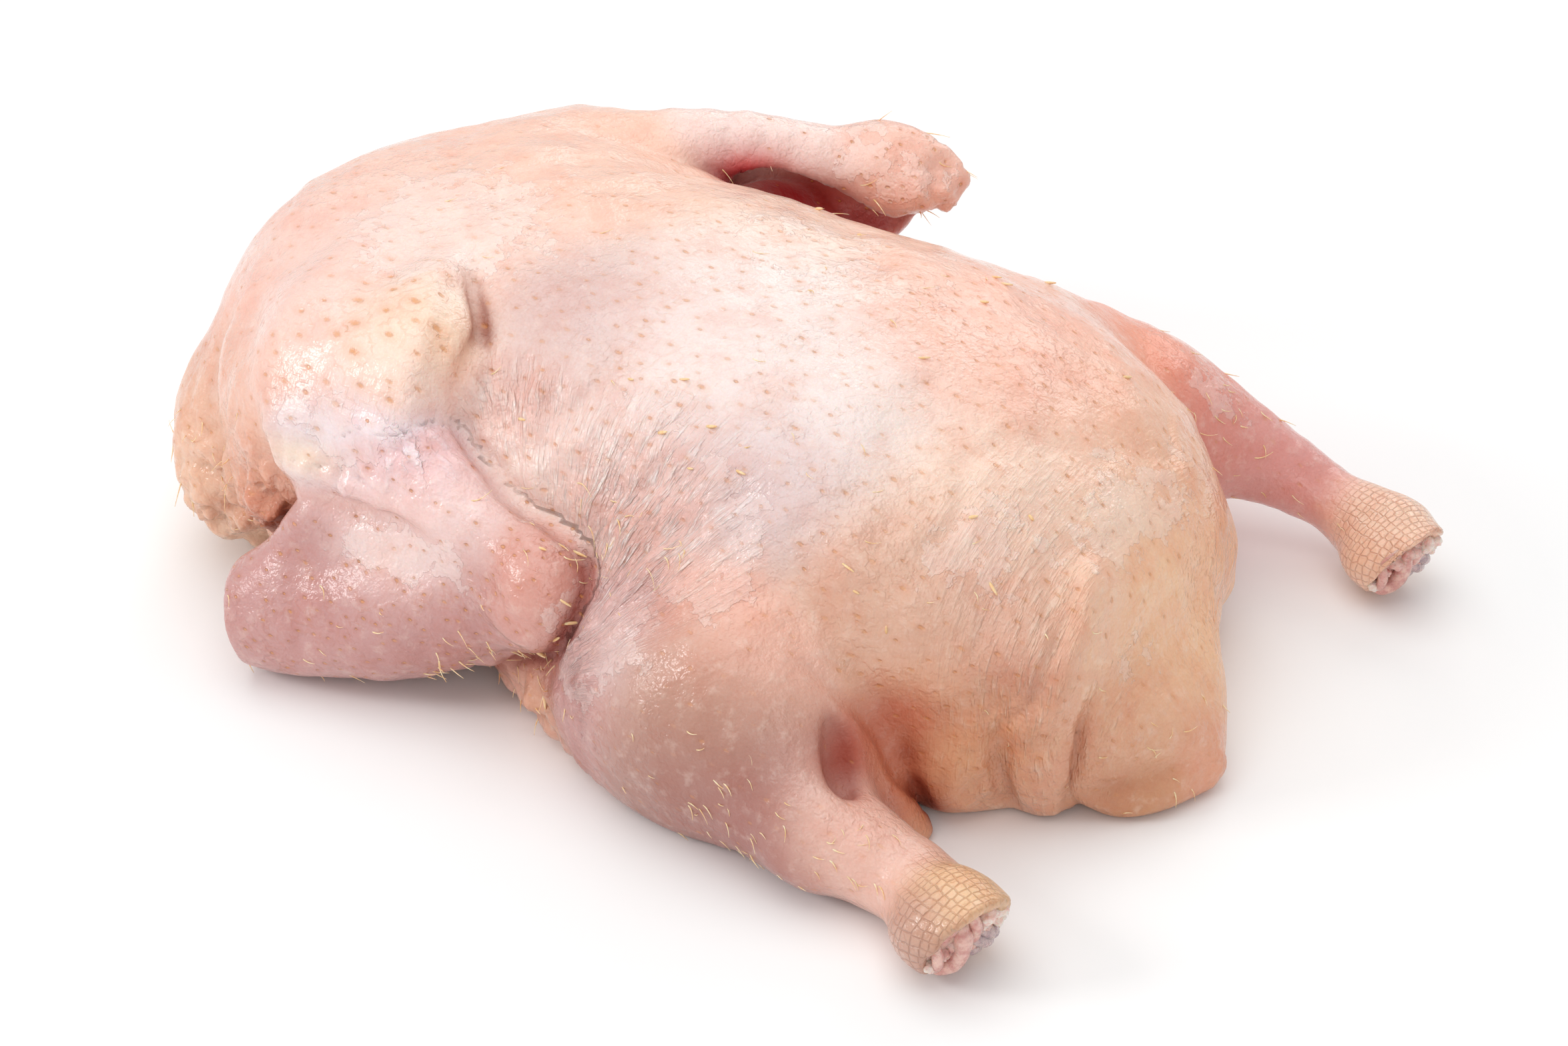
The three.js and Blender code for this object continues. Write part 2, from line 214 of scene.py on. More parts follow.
# Those that cross from one part of the bird to another
DUCK_STROKES = (
    # The crease of the rump beside the leg, and the hollow over the bulge
    (1.9, 5.0, ((69, -81, 52), (72, -81, 48.5), (75, -80, 45), (78, -79, 40), (81, -76.5, 35),
                (84, -74.5, 30), (86, -73.5, 26), (88, -73, 22), (90, -72, 17), (91.5, -70, 13), (93, -66, 7),
                (95, -63, 2), (96, -61, -3))),
    (6.5, 2.4, ((88, -73, 41), (94, -71, 36), (99, -69, 34), (105, -67, 35), (111, -62, 41))),
    (2.2, 2.4, ((108, -60, 44), (111, -60, 38), (112.5, -62, 31), (114, -62, 24), (114, -61, 18),
                (113, -55, 7), (112, -49, -2))),
    # The notch behind the pleat
    (1.5, 2.6, ((127, -39, 44), (127, -41, 36), (127, -43, 30), (126.5, -45, 22), (125.5, -46, 15),
                (124.5, -45, 8), (123, -43, -2))),
    # The crease behind the shoulder, down to the elbow
    (1.9, 4.6, ((-62, -37, 99), (-58, -39, 98), (-55, -43, 96), (-49, -50, 92), (-46, -54, 92),
                (-45, -59, 91), (-44, -64, 89), (-43, -68, 85))),
    (2.2, 5.4, ((-43, -68, 85), (-41.6, -70, 79), (-38.6, -71, 74), (-31.6, -73.2, 69), (-24.6, -75.2, 65),
                (-17.6, -76.2, 61), (-9.6, -77.2, 59), (-3.5, -79, 57), (2, -80.5, 52.5))),
    # The ridge over the near hock
    (1.5, -1.0, ((109, -110, 18), (116, -113.5, 20), (122, -116.5, 21), (128, -119, 20))),
    # The furrow under the bulge
    (2.0, 1.8, ((115, -62, 20), (112, -64, 15), (108, -66, 11), (103, -66, 8))),
    # Folds that fan out from the armpit
    (2.2, 1.2, ((-30, -76, 79), (-32, -63, 81), (-30, -56, 88))),
    (2.2, 1.2, ((-22, -79, 74), (-23, -64, 80), (-18, -53, 90))),
    (2.2, 1.3, ((2, -81, 61), (-2, -72, 66), (2, -67, 76), (8, -55, 88), (7, -48, 93))),
    (2.4, 1.5, ((3, -77, 61), (2, -71, 69), (7, -65, 79), (15, -55, 88), (21, -50, 92))),
    (2.2, 1.3, ((5, -77, 59), (9, -72, 69), (16, -65, 80), (21, -57, 87))),
    (2.2, 1.3, ((27, -81, 64), (28, -76, 69), (28, -71, 73), (30, -68, 77))),
    (2.0, 1.2, ((31, -77, 68), (31, -72, 73), (32, -66, 78), (33, -64, 80))),
    (2.4, 1.3, ((8, -88, 48), (13, -86, 53), (17, -80, 61), (21, -76, 67), (24, -72, 74))),
    (2.4, 1.3, ((-14, -65, 79), (-12, -58, 85), (-10, -50, 91), (-11, -42, 96))),
    (2.0, 1.0, ((25, -48, 92), (33, -47, 92), (39, -42, 94))),
    (2.6, 1.3, ((12, -93, 38), (18, -92, 48), (24, -86, 58), (30, -82, 65))),
    (2.6, 1.3, ((14, -95, 30), (22, -96, 42), (31, -91, 53), (38, -86, 61))),
)

# ---- Numbers ---------------------------------------------------------------------------------


def bell(x, middle, width):
    return np.exp(-(((x - middle) / width) ** 2))


def step(low, high, x):
    t = np.clip((x - low) / (high - low), 0, 1)
    return t * t * (3 - 2 * t)


def smooth_min(a, b, blend):
    h = np.clip(0.5 + 0.5 * (b - a) / blend, 0, 1)
    return b + (a - b) * h - blend * h * (1 - h)


def smooth_max(a, b, blend):
    return -smooth_min(-a, -b, blend)


LATTICE = np.random.default_rng(11).uniform(-1, 1, 4096).astype(np.float32)
# Large primes that spread the cells of the noise over the lattice
SPREAD = (73856093, 19349663, 83492791)


def noise(points, size, seed=0):
    """Smooth random values from -1 to 1, about size mm across (size may be one number per axis)."""
    q = points / np.asarray(size, np.float32) + 19.7 * seed
    cell = np.floor(q).astype(np.int64)
    f = q - cell
    f = f * f * (3 - 2 * f)
    total = np.zeros(len(points), np.float32)
    for corner in product((0, 1), repeat=3):
        c = cell + corner
        weight = np.prod(np.where(corner, f, 1 - f), axis=1)
        key = c[:, 0] * SPREAD[0] ^ c[:, 1] * SPREAD[1] ^ c[:, 2] * SPREAD[2]
        total += weight * LATTICE[key & (len(LATTICE) - 1)]
    return total


def patch(points, middle, radii):
    """1 in the middle of an ellipsoidal patch, falling smoothly to 0 outside it."""
    q = (points - np.asarray(middle, np.float32)) / np.asarray(radii, np.float32)
    return np.exp(-(q * q).sum(1))


def strongest(points, patches):
    """The strongest of several patches, each (middle, reach, strength), at every point."""
    return np.max([strength * patch(points, middle, reach) for middle, reach, strength in patches], axis=0)


def unit(v):
    v = np.asarray(v, float)
    return v / np.linalg.norm(v)


# ---- Distances to lobes and limbs ------------------------------------------------------------


def lobe(p, middle, radii, turn=0.0):
    """Roughly how far points are outside an ellipsoid turned about Z by turn degrees."""
    a = math.radians(turn)
    axes = np.array([(math.cos(a), math.sin(a), 0), (-math.sin(a), math.cos(a), 0), (0, 0, 1)], np.float32)
    q = (p - np.asarray(middle, np.float32)) @ axes.T / np.asarray(radii, np.float32)
    reach = np.linalg.norm(q, axis=1)
    steep = np.linalg.norm(q / np.asarray(radii, np.float32), axis=1)
    return reach * (reach - 1) / np.maximum(steep, 1e-9)


def curve_through(stations, steps):
    """Rows of numbers interpolated smoothly between the stations."""
    rows = np.array(stations, float)
    ext = np.vstack([2 * rows[0] - rows[1], rows, 2 * rows[-1] - rows[-2]])
    out = []
    for i in range(len(rows) - 1):
        a, b, c, d = ext[i:i + 4]
        for t in np.arange(steps) / steps:
            curved = (2 * a - 5 * b + 4 * c - d) * t**2 + (3 * b - a - 3 * c + d) * t**3
            out.append(0.5 * (2 * b + (c - a) * t + curved))
    out.append(rows[-1])
    return np.array(out)


def limb(p, stations, blend=1.0, steps=3):
    """Distance to a round limb through its stations, cut flat at its end; far away, only a lower bound."""
    rows = curve_through(stations, steps).astype(np.float32)
    reach = 30 + rows[:, 3].max()
    outside = np.maximum(rows[:, :3].min(0) - p, p - rows[:, :3].max(0)).max(1)
    near = outside < reach
    away = np.maximum(outside - rows[:, 3].max(), 1.0)
    away[near] = near_limb(p[near], rows, blend)
    return away


def near_limb(p, rows, blend):
    total = None
    for a, b in zip(rows[:-1], rows[1:]):
        along = b[:3] - a[:3]
        t = np.clip((p - a[:3]) @ along / (along @ along), 0, 1)
        away = np.linalg.norm(p - a[:3] - t[:, None] * along, axis=1) - (a[3] + (b[3] - a[3]) * t)
        total = away if total is None else smooth_min(total, away, blend)
    end = unit(rows[-1, :3] - rows[-2, :3]).astype(np.float32)
    return smooth_max(total, (p - rows[-1, :3]) @ end, 2.0)


def web(p, a, b, c, half):
    """Distance to a triangular sheet of skin."""
    a, b, c = (np.asarray(v, np.float32) for v in (a, b, c))
    sides = (b - a, c - b, a - c)
    froms = (p - a, p - b, p - c)
    normal = np.cross(sides[0], sides[2])
    outside = sum(np.sign(q @ np.cross(side, normal)) for side, q in zip(sides, froms))
    edge = [((side * np.clip(q @ side / (side @ side), 0, 1)[:, None] - q) ** 2).sum(1)
            for side, q in zip(sides, froms)]
    flat = (froms[0] @ normal) ** 2 / (normal @ normal)
    return np.sqrt(np.where(outside < 2, np.min(edge, axis=0), flat)) - half


def section(p, y, half_width, low, high, squareness):
    """How far out points are in a superellipse cross-section (1 on its line), and how fast that grows."""
    half = (high - low) / 2
    across, up = np.abs(p[:, 1] - y) / half_width, np.abs(p[:, 2] - (low + high) / 2) / half
    reach = np.maximum((across**squareness + up**squareness) ** (1 / squareness), 1e-4)
    power = squareness - 1
    slope = np.hypot(across**power / half_width, up**power / half) * reach**-power
    return reach, slope


def lofted(p, rows, low, high):
    """Distance to a body lofted along X, whose cross-section at x is rows(x)."""
    x = p[:, 0]
    reach, slope = section(p, *rows(x))
    along = (section(p, *rows(x + 1.5))[0] - section(p, *rows(x - 1.5))[0]) / 3
    gap = (reach - 1) / np.sqrt(slope**2 + np.minimum(along**2, 0.01) + 1e-8)
    past = np.abs(x - np.clip(x, low, high))
    return np.where(past > 0, np.hypot(np.maximum(gap, 0), past), gap)


def trunk_section(x):
    t = np.clip((x - TRUNK_FRONT) / TRUNK_LENGTH, 0.002, 0.998)
    rounding = (1 - np.abs(2 * t - 1) ** 4) ** (1 / 3)
    half_width = TRUNK_HALF + SHOULDER_SPREAD * bell(t, 0.2, 0.13) + THIGH_SPREAD * bell(t, 0.8, 0.15)
    high = END_HEIGHT + (BACK_HEIGHT - BACK_FALL * t**6 - END_HEIGHT) * rounding
    low = BELLY_LIFT - (BELLY_LIFT + BELLY_SINK) * rounding
    return 0.0, half_width * rounding, low, high, 2.3 - 0.15 * bell(t, 0.42, 0.15)


def tail_section(x):
    s = np.clip((x - TAIL_ROOT) / TAIL_LENGTH, 0, 0.995)
    half_width = TAIL_HALF * (1 - s**2.2) ** 0.8
    high = TAIL_TIP_HEIGHT + (TAIL_ROOT_HEIGHT - TAIL_TIP_HEIGHT) * (1 - s) ** 0.75
    return TAIL_SIDEWAYS * (0.4 + s), half_width, -2 + 4 * s**4, high, 2.5


def smooth_trunk_gap(p):
    """Distance to the trunk, tail, neck skin, shoulders and far rump, before furrows are drawn on them."""
    gap = lofted(p, trunk_section, TRUNK_FRONT + 0.6, TRUNK_FRONT + TRUNK_LENGTH - 0.6)
    gap = smooth_min(gap, lofted(p, tail_section, TAIL_ROOT, TAIL_ROOT + TAIL_LENGTH - 0.6), 8)
    gap = smooth_min(gap, lobe(p, *NECK_SKIN), 10)
    gap = smooth_min(gap, lobe(p, *CROP), 10)
    # The shoulders melt into the neck end and stand off behind in a crisp fold
    fold_blend = 3 + 0.6 * np.clip(-74 - p[:, 0], 0, 22)
    for side in (NEAR, FAR):
        mirror = np.array((1, side, 1))
        sink = (0, 0, 6 if side == FAR else 0)
        hump = lobe(p, SHOULDER[0] * mirror - sink, SHOULDER[1])
        hump = smooth_min(hump, lobe(p, SHOULDER_FOLD[0] * mirror - sink, SHOULDER_FOLD[1]), 8)
        gap = smooth_min(gap, hump, fold_blend)
    gap = smooth_min(gap, lobe(p, *SHOULDER_LIP), 1.2 + 14 * step(-54, -68, p[:, 0]))
    behind = p[:, 0] + 52.5 + 0.35 * (p[:, 1] + 50)
    gap = smooth_min(gap, limb(p, SHOULDER_ROLL), 0.8 + 15 * step(0, -10, behind))
    gap = smooth_min(gap, lobe(p, *RUMP_FAR), 5)
    gap = smooth_min(gap, limb(p, TAIL_LIP), 4)
    gap = smooth_min(gap, lobe(p, *FLANK_SKIN), 12)
    return gap


@cache
def strokes_on(surface, paths):
    """The paths in finer stations, pulled onto a surface."""
    out = []
    axes = np.eye(3, dtype=np.float32)
    for width, depth, path in paths:
        rows = curve_through(path, 4)
        for _ in range(6):
            points = rows.astype(np.float32)
            slope = np.stack([surface(points + off) - surface(points - off) for off in axes], 1) / 2
            gap = np.clip(surface(points), -3, 3)
            rows -= (gap / np.maximum((slope**2).sum(1), 0.3))[:, None] * slope
        t = np.linspace(0, 1, len(rows))
        taper = np.minimum(1, 3 * np.minimum(t, 1 - t) + 0.05)
        out.append(np.c_[rows, np.full(len(rows), width), depth * taper].astype(np.float32))
    return out


def stroked(surface, paths, p):
    """A surface with furrows and ridges drawn on it."""
    gap = surface(p)
    for rows in strokes_on(surface, paths):
        reach = 2.2 * rows[0, 3]
        near = np.flatnonzero(((p > rows[:, :3].min(0) - reach) & (p < rows[:, :3].max(0) + reach)).all(1))
        if not len(near):
            continue
        q = p[near]
        deepest = np.zeros(len(q), np.float32)
        for a, b in zip(rows[:-1], rows[1:]):
            along = b[:3] - a[:3]
            t = np.clip((q - a[:3]) @ along / max(along @ along, 1e-6), 0, 1)
            away = ((q - a[:3] - t[:, None] * along) ** 2).sum(1)
            here = (a[4] + (b[4] - a[4]) * t) * np.exp(-away / a[3] ** 2)
            deepest = np.where(np.abs(here) > np.abs(deepest), here, deepest)
        gap[near] += deepest
    return gap


def trunk_gap(p):
    return stroked(smooth_trunk_gap, BODY_STROKES, p)


def near_wing_surface(p):
    return smooth_wing_gap(p, NEAR)


def wing_gap(p, side):
    return stroked(near_wing_surface, NEAR_WING_STROKES, p) if side == NEAR else smooth_wing_gap(p, side)


def leg_gap(p, side):
    """Distance to a leg, whose hock ends in a ragged slanting cut."""
    shank = limb(p, SHANKS[side])
    for knob in HOCK_KNOBS[side]:
        shank = smooth_min(shank, lobe(p, *knob), 5)
    middle, way, _ = HOCK_CUTS[side]
    past = (p - np.array(middle, np.float32)) @ unit(way).astype(np.float32) + 0.8 * noise(p, 4, 33)
    return smooth_min(smooth_max(shank, past, 1.2), lobe(p, *THIGHS[side]), 12)


def smooth_wing_gap(p, side):
    """Distance to a wing: both bones, the web of skin in front of the elbow and the elbow's knobs."""
    front, notch, lead, half = WEBS[side]
    elbow, root = FOREARMS[side][0][:3], UPPER_ARMS[side][1][:3]
    bones = smooth_min(limb(p, UPPER_ARMS[side]), limb(p, FOREARMS[side]), 8)
    sheet = np.minimum(web(p, front, elbow, notch, half), web(p, notch, elbow, lead, half))
    sheet = smooth_min(sheet, web(p, front, root, elbow, half), 4)
    whole = smooth_min(bones, sheet, 9)
    knobs = (ELBOW_KNOB,) if side == NEAR else FAR_KNOBS
    for knob in knobs:
        whole = smooth_min(whole, lobe(p, *knob), 8)
    return whole if side == NEAR else smooth_max(whole, -limb(p, FAR_HOLLOW), 3)


def duck_parts(p):
    return [trunk_gap(p), leg_gap(p, NEAR), leg_gap(p, FAR), wing_gap(p, NEAR), wing_gap(p, FAR)]


def duck_gap(p):
    """Roughly how far points are outside the skin."""
    return np.maximum(stroked(smooth_duck_gap, DUCK_STROKES, p), -p[:, 2])


def end_of(stations):
    """The middle of a limb's cut end, the way that it faces, and its radius."""
    last = np.array(stations[-1], float)
    return last[:3], unit(last[:3] - np.array(stations[-2][:3])), last[3]


def cuts():
    """Each cut end: its middle, the way it faces, its radius, its rim of skin and how deep the flesh lies."""
    hocks = [(np.array(middle, float), unit(way), radius, 2.0, 1.4)
             for middle, way, radius in HOCK_CUTS.values()]
    return hocks + [(*end_of(FOREARMS[side]), 2.5, 3.5) for side in (NEAR, FAR)]


def cut_recess(p, middle, way, radius, rim, depth):
    """Distance to the hollow in a cut end, inside its rim of skin."""
    off = p - middle.astype(np.float32)
    along = off @ way.astype(np.float32)
    away = np.linalg.norm(off - along[:, None] * way.astype(np.float32), axis=1)
    away += 0.7 * noise(p, 5, 31)
    return smooth_max(away - (radius - rim), -along - depth, 1.0)


def smooth_duck_gap(p):
    """Distance to the whole bird above the table, before the last furrows are drawn on it."""
    gap, near_leg, far_leg, near_wing, far_wing = duck_parts(p)
    sheet = smooth_min(web(p, *LEG_WEB), limb(p, LEG_PAD), 4)
    gap = smooth_min(smooth_min(gap, near_leg, 24 - 20 * step(48, 80, p[:, 0])), sheet, 7)
    gap = smooth_max(gap, -limb(p, POCKET), 5)
    gap = smooth_min(gap, limb(p, LEG_FOLD), 1.6)
    bulge = smooth_min(lobe(p, *RUMP_NEAR), lobe(p, *RUMP_HEEL), 6)
    gap = smooth_min(gap, bulge, 1.0 + 12 * step(20, 38, p[:, 2]))
    # The pleat is crisp towards the tail and melts into the bulge on its other side and at its top
    along = p[:, 0] * PLEAT_WAY[0] + p[:, 1] * PLEAT_WAY[1]
    gap = smooth_min(gap, limb(p, RUMP_PLEAT), 1.0 + 5 * step(78, 70, along) + 10 * step(34, 52, p[:, 2]))
    gap = smooth_min(gap, far_leg, 24 - 19 * step(58, 88, p[:, 0]))
    near_root = step(-42, -60, p[:, 0]) * patch(p, (-75, -74, 82), (44, 24, 22))
    gap = smooth_min(gap, near_wing, 1.5 + 15 * near_root)
    gap = smooth_min(gap, far_wing, 1.5 + 12 * patch(p, (-82, 64, 82), (22, 22, 22)))
    for cut in cuts():
        gap = smooth_max(gap, -cut_recess(p, *cut), 0.8)
    return smooth_max(gap, -p[:, 2], 2.0)


# ---- Meshing ---------------------------------------------------------------------------------


def measured(field, points, share=50000):
    """The field at many points, worked out in slices side by side."""
    slices = np.array_split(points, max(1, len(points) // share))
    with ThreadPoolExecutor(4) as pool:
        return np.concatenate(list(pool.map(field, slices)))


def sampled(field, low, high, cell, block=5):
    """The field on a fine grid, worked out only in blocks that the surface can pass through."""
    counts = np.ceil((np.asarray(high, float) - low) / (cell * block)).astype(int)
    middles = np.stack(np.meshgrid(*(np.arange(n) for n in counts), indexing="ij"), -1).reshape(-1, 3)
    centre = (low + (middles + 0.5) * block * cell).astype(np.float32)
    coarse = measured(field, centre)
    values = np.where(coarse > 0, 1.0, -1.0).astype(np.float32).reshape(counts)
    values = values.repeat(block, 0).repeat(block, 1).repeat(block, 2)
    active = middles[np.abs(coarse) < 0.87 * block * cell * 1.35]
    local = np.stack(np.meshgrid(*[np.arange(block)] * 3, indexing="ij"), -1).reshape(-1, 3)
    nodes = (active[:, None] * block + local).reshape(-1, 3)
    values[tuple(nodes.T)] = measured(field, (low + nodes * cell).astype(np.float32))
    return values


def surface_net(values, low, cell):
    """Vertices and quads of the surface where the sampled field is 0."""
    n = np.array(values.shape)
    inside = values < 0
    count = np.zeros(n - 1, np.int8)
    for corner in product((0, 1), repeat=3):
        count += inside[tuple(slice(c, m - 1 + c) for c, m in zip(corner, n))]
    crossed = (count > 0) & (count < 8)
    cells = np.argwhere(crossed)
    index = np.full(n - 1, -1, np.int64)
    index[crossed] = np.arange(len(cells))
    total, times = np.zeros((len(cells), 3)), np.zeros(len(cells))
    for axis in range(3):
        for u, v in product((0, 1), repeat=2):
            start = np.insert([u, v], axis, 0)
            end = np.insert([u, v], axis, 1)
            a, b = values[tuple((cells + start).T)], values[tuple((cells + end).T)]
            cut = (a < 0) != (b < 0)
            place = np.tile(start.astype(float), (len(cells), 1))
            place[:, axis] = np.where(cut, a / np.where(cut, a - b, 1), 0)
            total += place * cut[:, None]
            times += cut
    vertices = low + cell * (cells + total / times[:, None])
    quads = []
    for axis in range(3):
        u, v = (axis + 1) % 3, (axis + 2) % 3
        spans = [slice(1, m - 1) for m in n]
        here, there = list(spans), list(spans)
        here[axis], there[axis] = slice(0, n[axis] - 1), slice(1, n[axis])
        a, b = inside[tuple(here)], inside[tuple(there)]
        at = np.argwhere(a != b)
        outward = a[tuple(at.T)]
        corner = at.copy()
        corner[:, u] += 1
        corner[:, v] += 1
        loop = []
        for du, dv in ((1, 1), (0, 1), (0, 0), (1, 0)):
            c = corner.copy()
            c[:, u] -= du
            c[:, v] -= dv
            loop.append(index[tuple(c.T)])
        quad = np.stack(loop, 1)
        quad[~outward] = quad[~outward][:, ::-1]
        quads.append(quad)
    return vertices, np.concatenate(quads)


def gradient(field, points, reach=0.6):
    return np.stack([(measured(field, points + off) - measured(field, points - off)) / (2 * reach)
                     for off in np.eye(3, dtype=np.float32) * reach], 1)


def about(values, quads):
    """The mean of each vertex's neighbours, for rows of values."""
    a, b = np.concatenate([quads[:, [i, (i + 1) % 4]] for i in range(4)]).T
    total = np.stack([np.bincount(a, column[b], len(values)) for column in values.T], 1)
    return total / np.bincount(a, minlength=len(values))[:, None]


def settled(field, vertices, quads, rounds):
    """Even out the net's quads along the surface and put its points back on the surface."""
    for _ in range(rounds):
        vertices = 0.4 * vertices + 0.6 * about(vertices, quads)
        points = vertices.astype(np.float32)
        slope = gradient(field, points)
        pull = (measured(field, points) / np.maximum((slope**2).sum(1), 0.2))[:, None] * slope
        vertices = vertices - np.clip(pull, -2, 2)
    return vertices


def normals_of(vertices, quads):
    a, b, c, d = (vertices[quads[:, i]] for i in range(4))
    face = np.cross(c - a, d - b)
    out = np.zeros_like(vertices)
    for i in range(4):
        for k in range(3):
            out[:, k] += np.bincount(quads[:, i], face[:, k], len(vertices))
    return out / np.maximum(np.linalg.norm(out, axis=1, keepdims=True), 1e-12)


# ---- Colour ----------------------------------------------------------------------------------

BODY, NEAR_LEG, FAR_LEG, NEAR_WING, FAR_WING = range(5)

# Where on the bird each tint lies, how far it reaches in mm, and its colour; the tints marked below also
# carry painted shade or painted light
TINTS = {
    "back": (BODY, (9, -31, 99), 24, "efdcd7"),
    "saddle": (BODY, (34, -31, 98), 22, "f2e5e0"),
    "left dome": (BODY, (-109, -48, 94), 24, "f5cec2"),
    "left dome low": (BODY, (-119, -72, 56), 20, "e3af98"),
    "crown": (BODY, (-79, 26, 101), 26, "f8cab4"),
    "crown front": (BODY, (-120, 20, 80), 30, "f4cbbb"),
    "shoulder cream": (BODY, (-81, -22, 101), 20, "f6d7cb"),
    "shoulder yellow": (BODY, (-69, -67, 95), 15, "f5d6ca"),
    # Painted light: paler tints that lift the shade on the edge of the shoulder's hump
    "hump edge": (BODY, (-60, -59, 94), 9, "fde3cb"),
    "hump edge low": (BODY, (-62, -70, 88), 8, "fbe0cc"),
    "hump lip": (BODY, (-51, -62, 91), 6, "fac39d"),
    "neck": (BODY, (-123, -73, 36), 18, "eac0a1"),
    "neck end": (BODY, (-100, -84, 34), 13, "d4815d"),
    "flank lilac": (BODY, (-26, -40, 97), 15, "d2b0ab"),
    "flank low lilac": (BODY, (39, -57, 86), 14, "d2babb"),
    "flank pink": (BODY, (-31, -63, 81), 13, "f6e2da"),
    "flank": (BODY, (13, -68, 76), 18, "f5e6e0"),
    # Painted shade: deep red in the armpit's crease, over the skin's own red
    "armpit": (BODY, (4, -92, 31), 14, "a05248"),
    "armpit low": (BODY, (-20, -82, 9), 14, "d9a08c"),
    # Painted shade: deep orange-red in the fold beside the rump, over the skin's own colour
    "rump fold": (BODY, (88, -68, 24), 11, "c45031"),
    "rump bulge": (BODY, (105, -71, 31), 14, "ecb58a"),
    "rump": (BODY, (97, -62, 60), 20, "e0b299"),
    "rump top": (BODY, (106, -28, 72), 20, "fadeca"),
    "rump yellow": (BODY, (128, -18, 50), 18, "fac99d"),
    "tail": (BODY, (138, -30, 28), 16, "e6b393"),
    "tail tip": (BODY, (150, -17, 12), 7, "e5a080"),
    "tail lip": (BODY, (139, -35, 9), 9, "c78a5d"),
    "rear orange": (BODY, (75, 36, 88), 24, "fabfa9"),
    "rear pink": (BODY, (63, 10, 95), 18, "f4c4b0"),
    "rear right": (BODY, (108, 31, 70), 20, "f3c5a7"),
    "far rump": (BODY, (127, 33, 44), 16, "fac497"),
    "far side": (BODY, (0, 85, 50), 40, "efc4ae"),
    "belly": (BODY, (0, 0, 0), 50, "efcdb6"),
    "thigh top": (NEAR_LEG, (53, -82, 65), 15, "f0bca8"),
    "thigh front": (NEAR_LEG, (20, -92, 48), 12, "dec0be"),
    # Painted shade: the thigh darker in the crease by the wing
    "thigh front low": (NEAR_LEG, (12, -95, 32), 10, "bd8883"),
    "thigh": (NEAR_LEG, (46, -104, 48), 15, "c69884"),
    # Painted shade: the thigh darker along its lower edge
    "thigh pink": (NEAR_LEG, (51, -112, 30), 14, "a57366"),
    "thigh low": (NEAR_LEG, (69, -109, 14), 14, "a56b63"),
    "drumstick": (NEAR_LEG, (98, -108, 28), 12, "ecc0b0"),
    "shank yellow": (NEAR_LEG, (130, -113, 28), 8, "eec59a"),
    "shank lilac": (NEAR_LEG, (124, -122, 20), 7, "c79986"),
    "far thigh": (FAR_LEG, (76, 77, 67), 18, "f39f81"),
    "far thigh top": (FAR_LEG, (63, 57, 83), 16, "f0a48a"),
    "far drumstick": (FAR_LEG, (104, 81, 49), 14, "e2988c"),
    "far shank": (FAR_LEG, (118, 87, 36), 12, "e2a09a"),
    "far shank yellow": (FAR_LEG, (147, 87, 28), 10, "facfb3"),
    "wing root lilac": (NEAR_WING, (-73, -83, 78), 9, "e1d2d8"),
    "wing root": (NEAR_WING, (-54, -82, 79), 12, "f8e5ec"),
    "wing top": (NEAR_WING, (-43, -86, 56), 11, "f7dbd6"),
    "wing plane": (NEAR_WING, (-46, -92, 46), 10, "e3c0bc"),
    # Painted shade: the forearm darker on its front and underside
    "forearm front": (NEAR_WING, (-62, -106, 24), 16, "c89793"),
    "forearm": (NEAR_WING, (-30, -98, 30), 14, "bf8a85"),
    "elbow": (NEAR_WING, (-2, -88, 48), 10, "dba295"),
    "far wing top": (FAR_WING, (-38, 76, 90), 12, "f8e0d8"),
    "far elbow": (FAR_WING, (-8, 95, 87), 12, "f1c1af"),
    # Painted shade: dark red in the slit under the far wing, over the skin's own red
    "far wing inside": (FAR_WING, (-39, 67, 80), 9, "a84a4a"),
    "far wing gap": (FAR_WING, (-24, 77, 70), 9, "8a2420"),
    "far forearm": (FAR_WING, (-50, 112, 45), 22, "eab8ac"),
}
# Painted shade: the colour that creases and other closed-in skin are darkened towards
CREASE_SHADE = "9a4234"

# Stains, painted shade in hollows and painted highlight, laid on the skin whatever it belongs to: the middle,
# the reach in mm, the colour and how strongly
STAINS_AND_SHADE = (
    # Painted shade over the skin's own red: the pocket and the crease beside the rump
    ((84.5, -86, 32), (6.5, 8.5, 10), "b44a34", 0.88),
    ((88, -79, 20), (6, 7, 14), "cc7454", 0.55),
    # Greyer lilac in the middle of the near hock
    ((124, -117, 21), (7, 5, 5), "bc8c84", 0.25),
    # Painted shade over the skin's own red: the hollow over the rump's bulge
    ((93, -71, 35), (11, 8, 6), "cc6448", 0.55),
    ((107, -68, 22), (12, 12, 12), "ecbc90", 0.35),
    # Painted shade over the skin's own red: the deep hollow under the far wing
    ((-43, 92, 65), (22, 10, 10), "c40c22", 1.0),
    ((-30, 82, 72), (16, 13, 8), "9c0414", 1.0),
    ((-42, 68, 84), (15, 8, 6), "d43c48", 0.9),
    ((-17, 98, 62), (12, 9, 8), "b8444c", 0.8),
    ((-62, -58, 94), (14, 13, 8), "f9dfba", 0.55),
    ((-50, -63, 89), (4, 7, 7), "e0ac84", 0.3),
    ((-77, -91, 66), (13, 8, 5), "fbe4c8", 0.7),
    ((-60, -92, 56), (20, 8, 3.5), "e6a996", 0.55),
    # Painted highlight: the pale plate on the near wing
    ((-50, -94, 47), (13, 8, 6), "f8e0d8", 0.5),
    ((-8, -92, 12), (11, 9, 10), "dca680", 0.6),
)

# Hollows that stay dark and dull: the middle and the reach in mm
DEEP = (
    ((84.5, -86, 32), (7, 9, 11)),
    ((96, -66, 16), (9, 10, 18)),
    ((-40, 90, 67), (28, 15, 12)),
    ((-42, 68, 84), (15, 8, 6)),
)

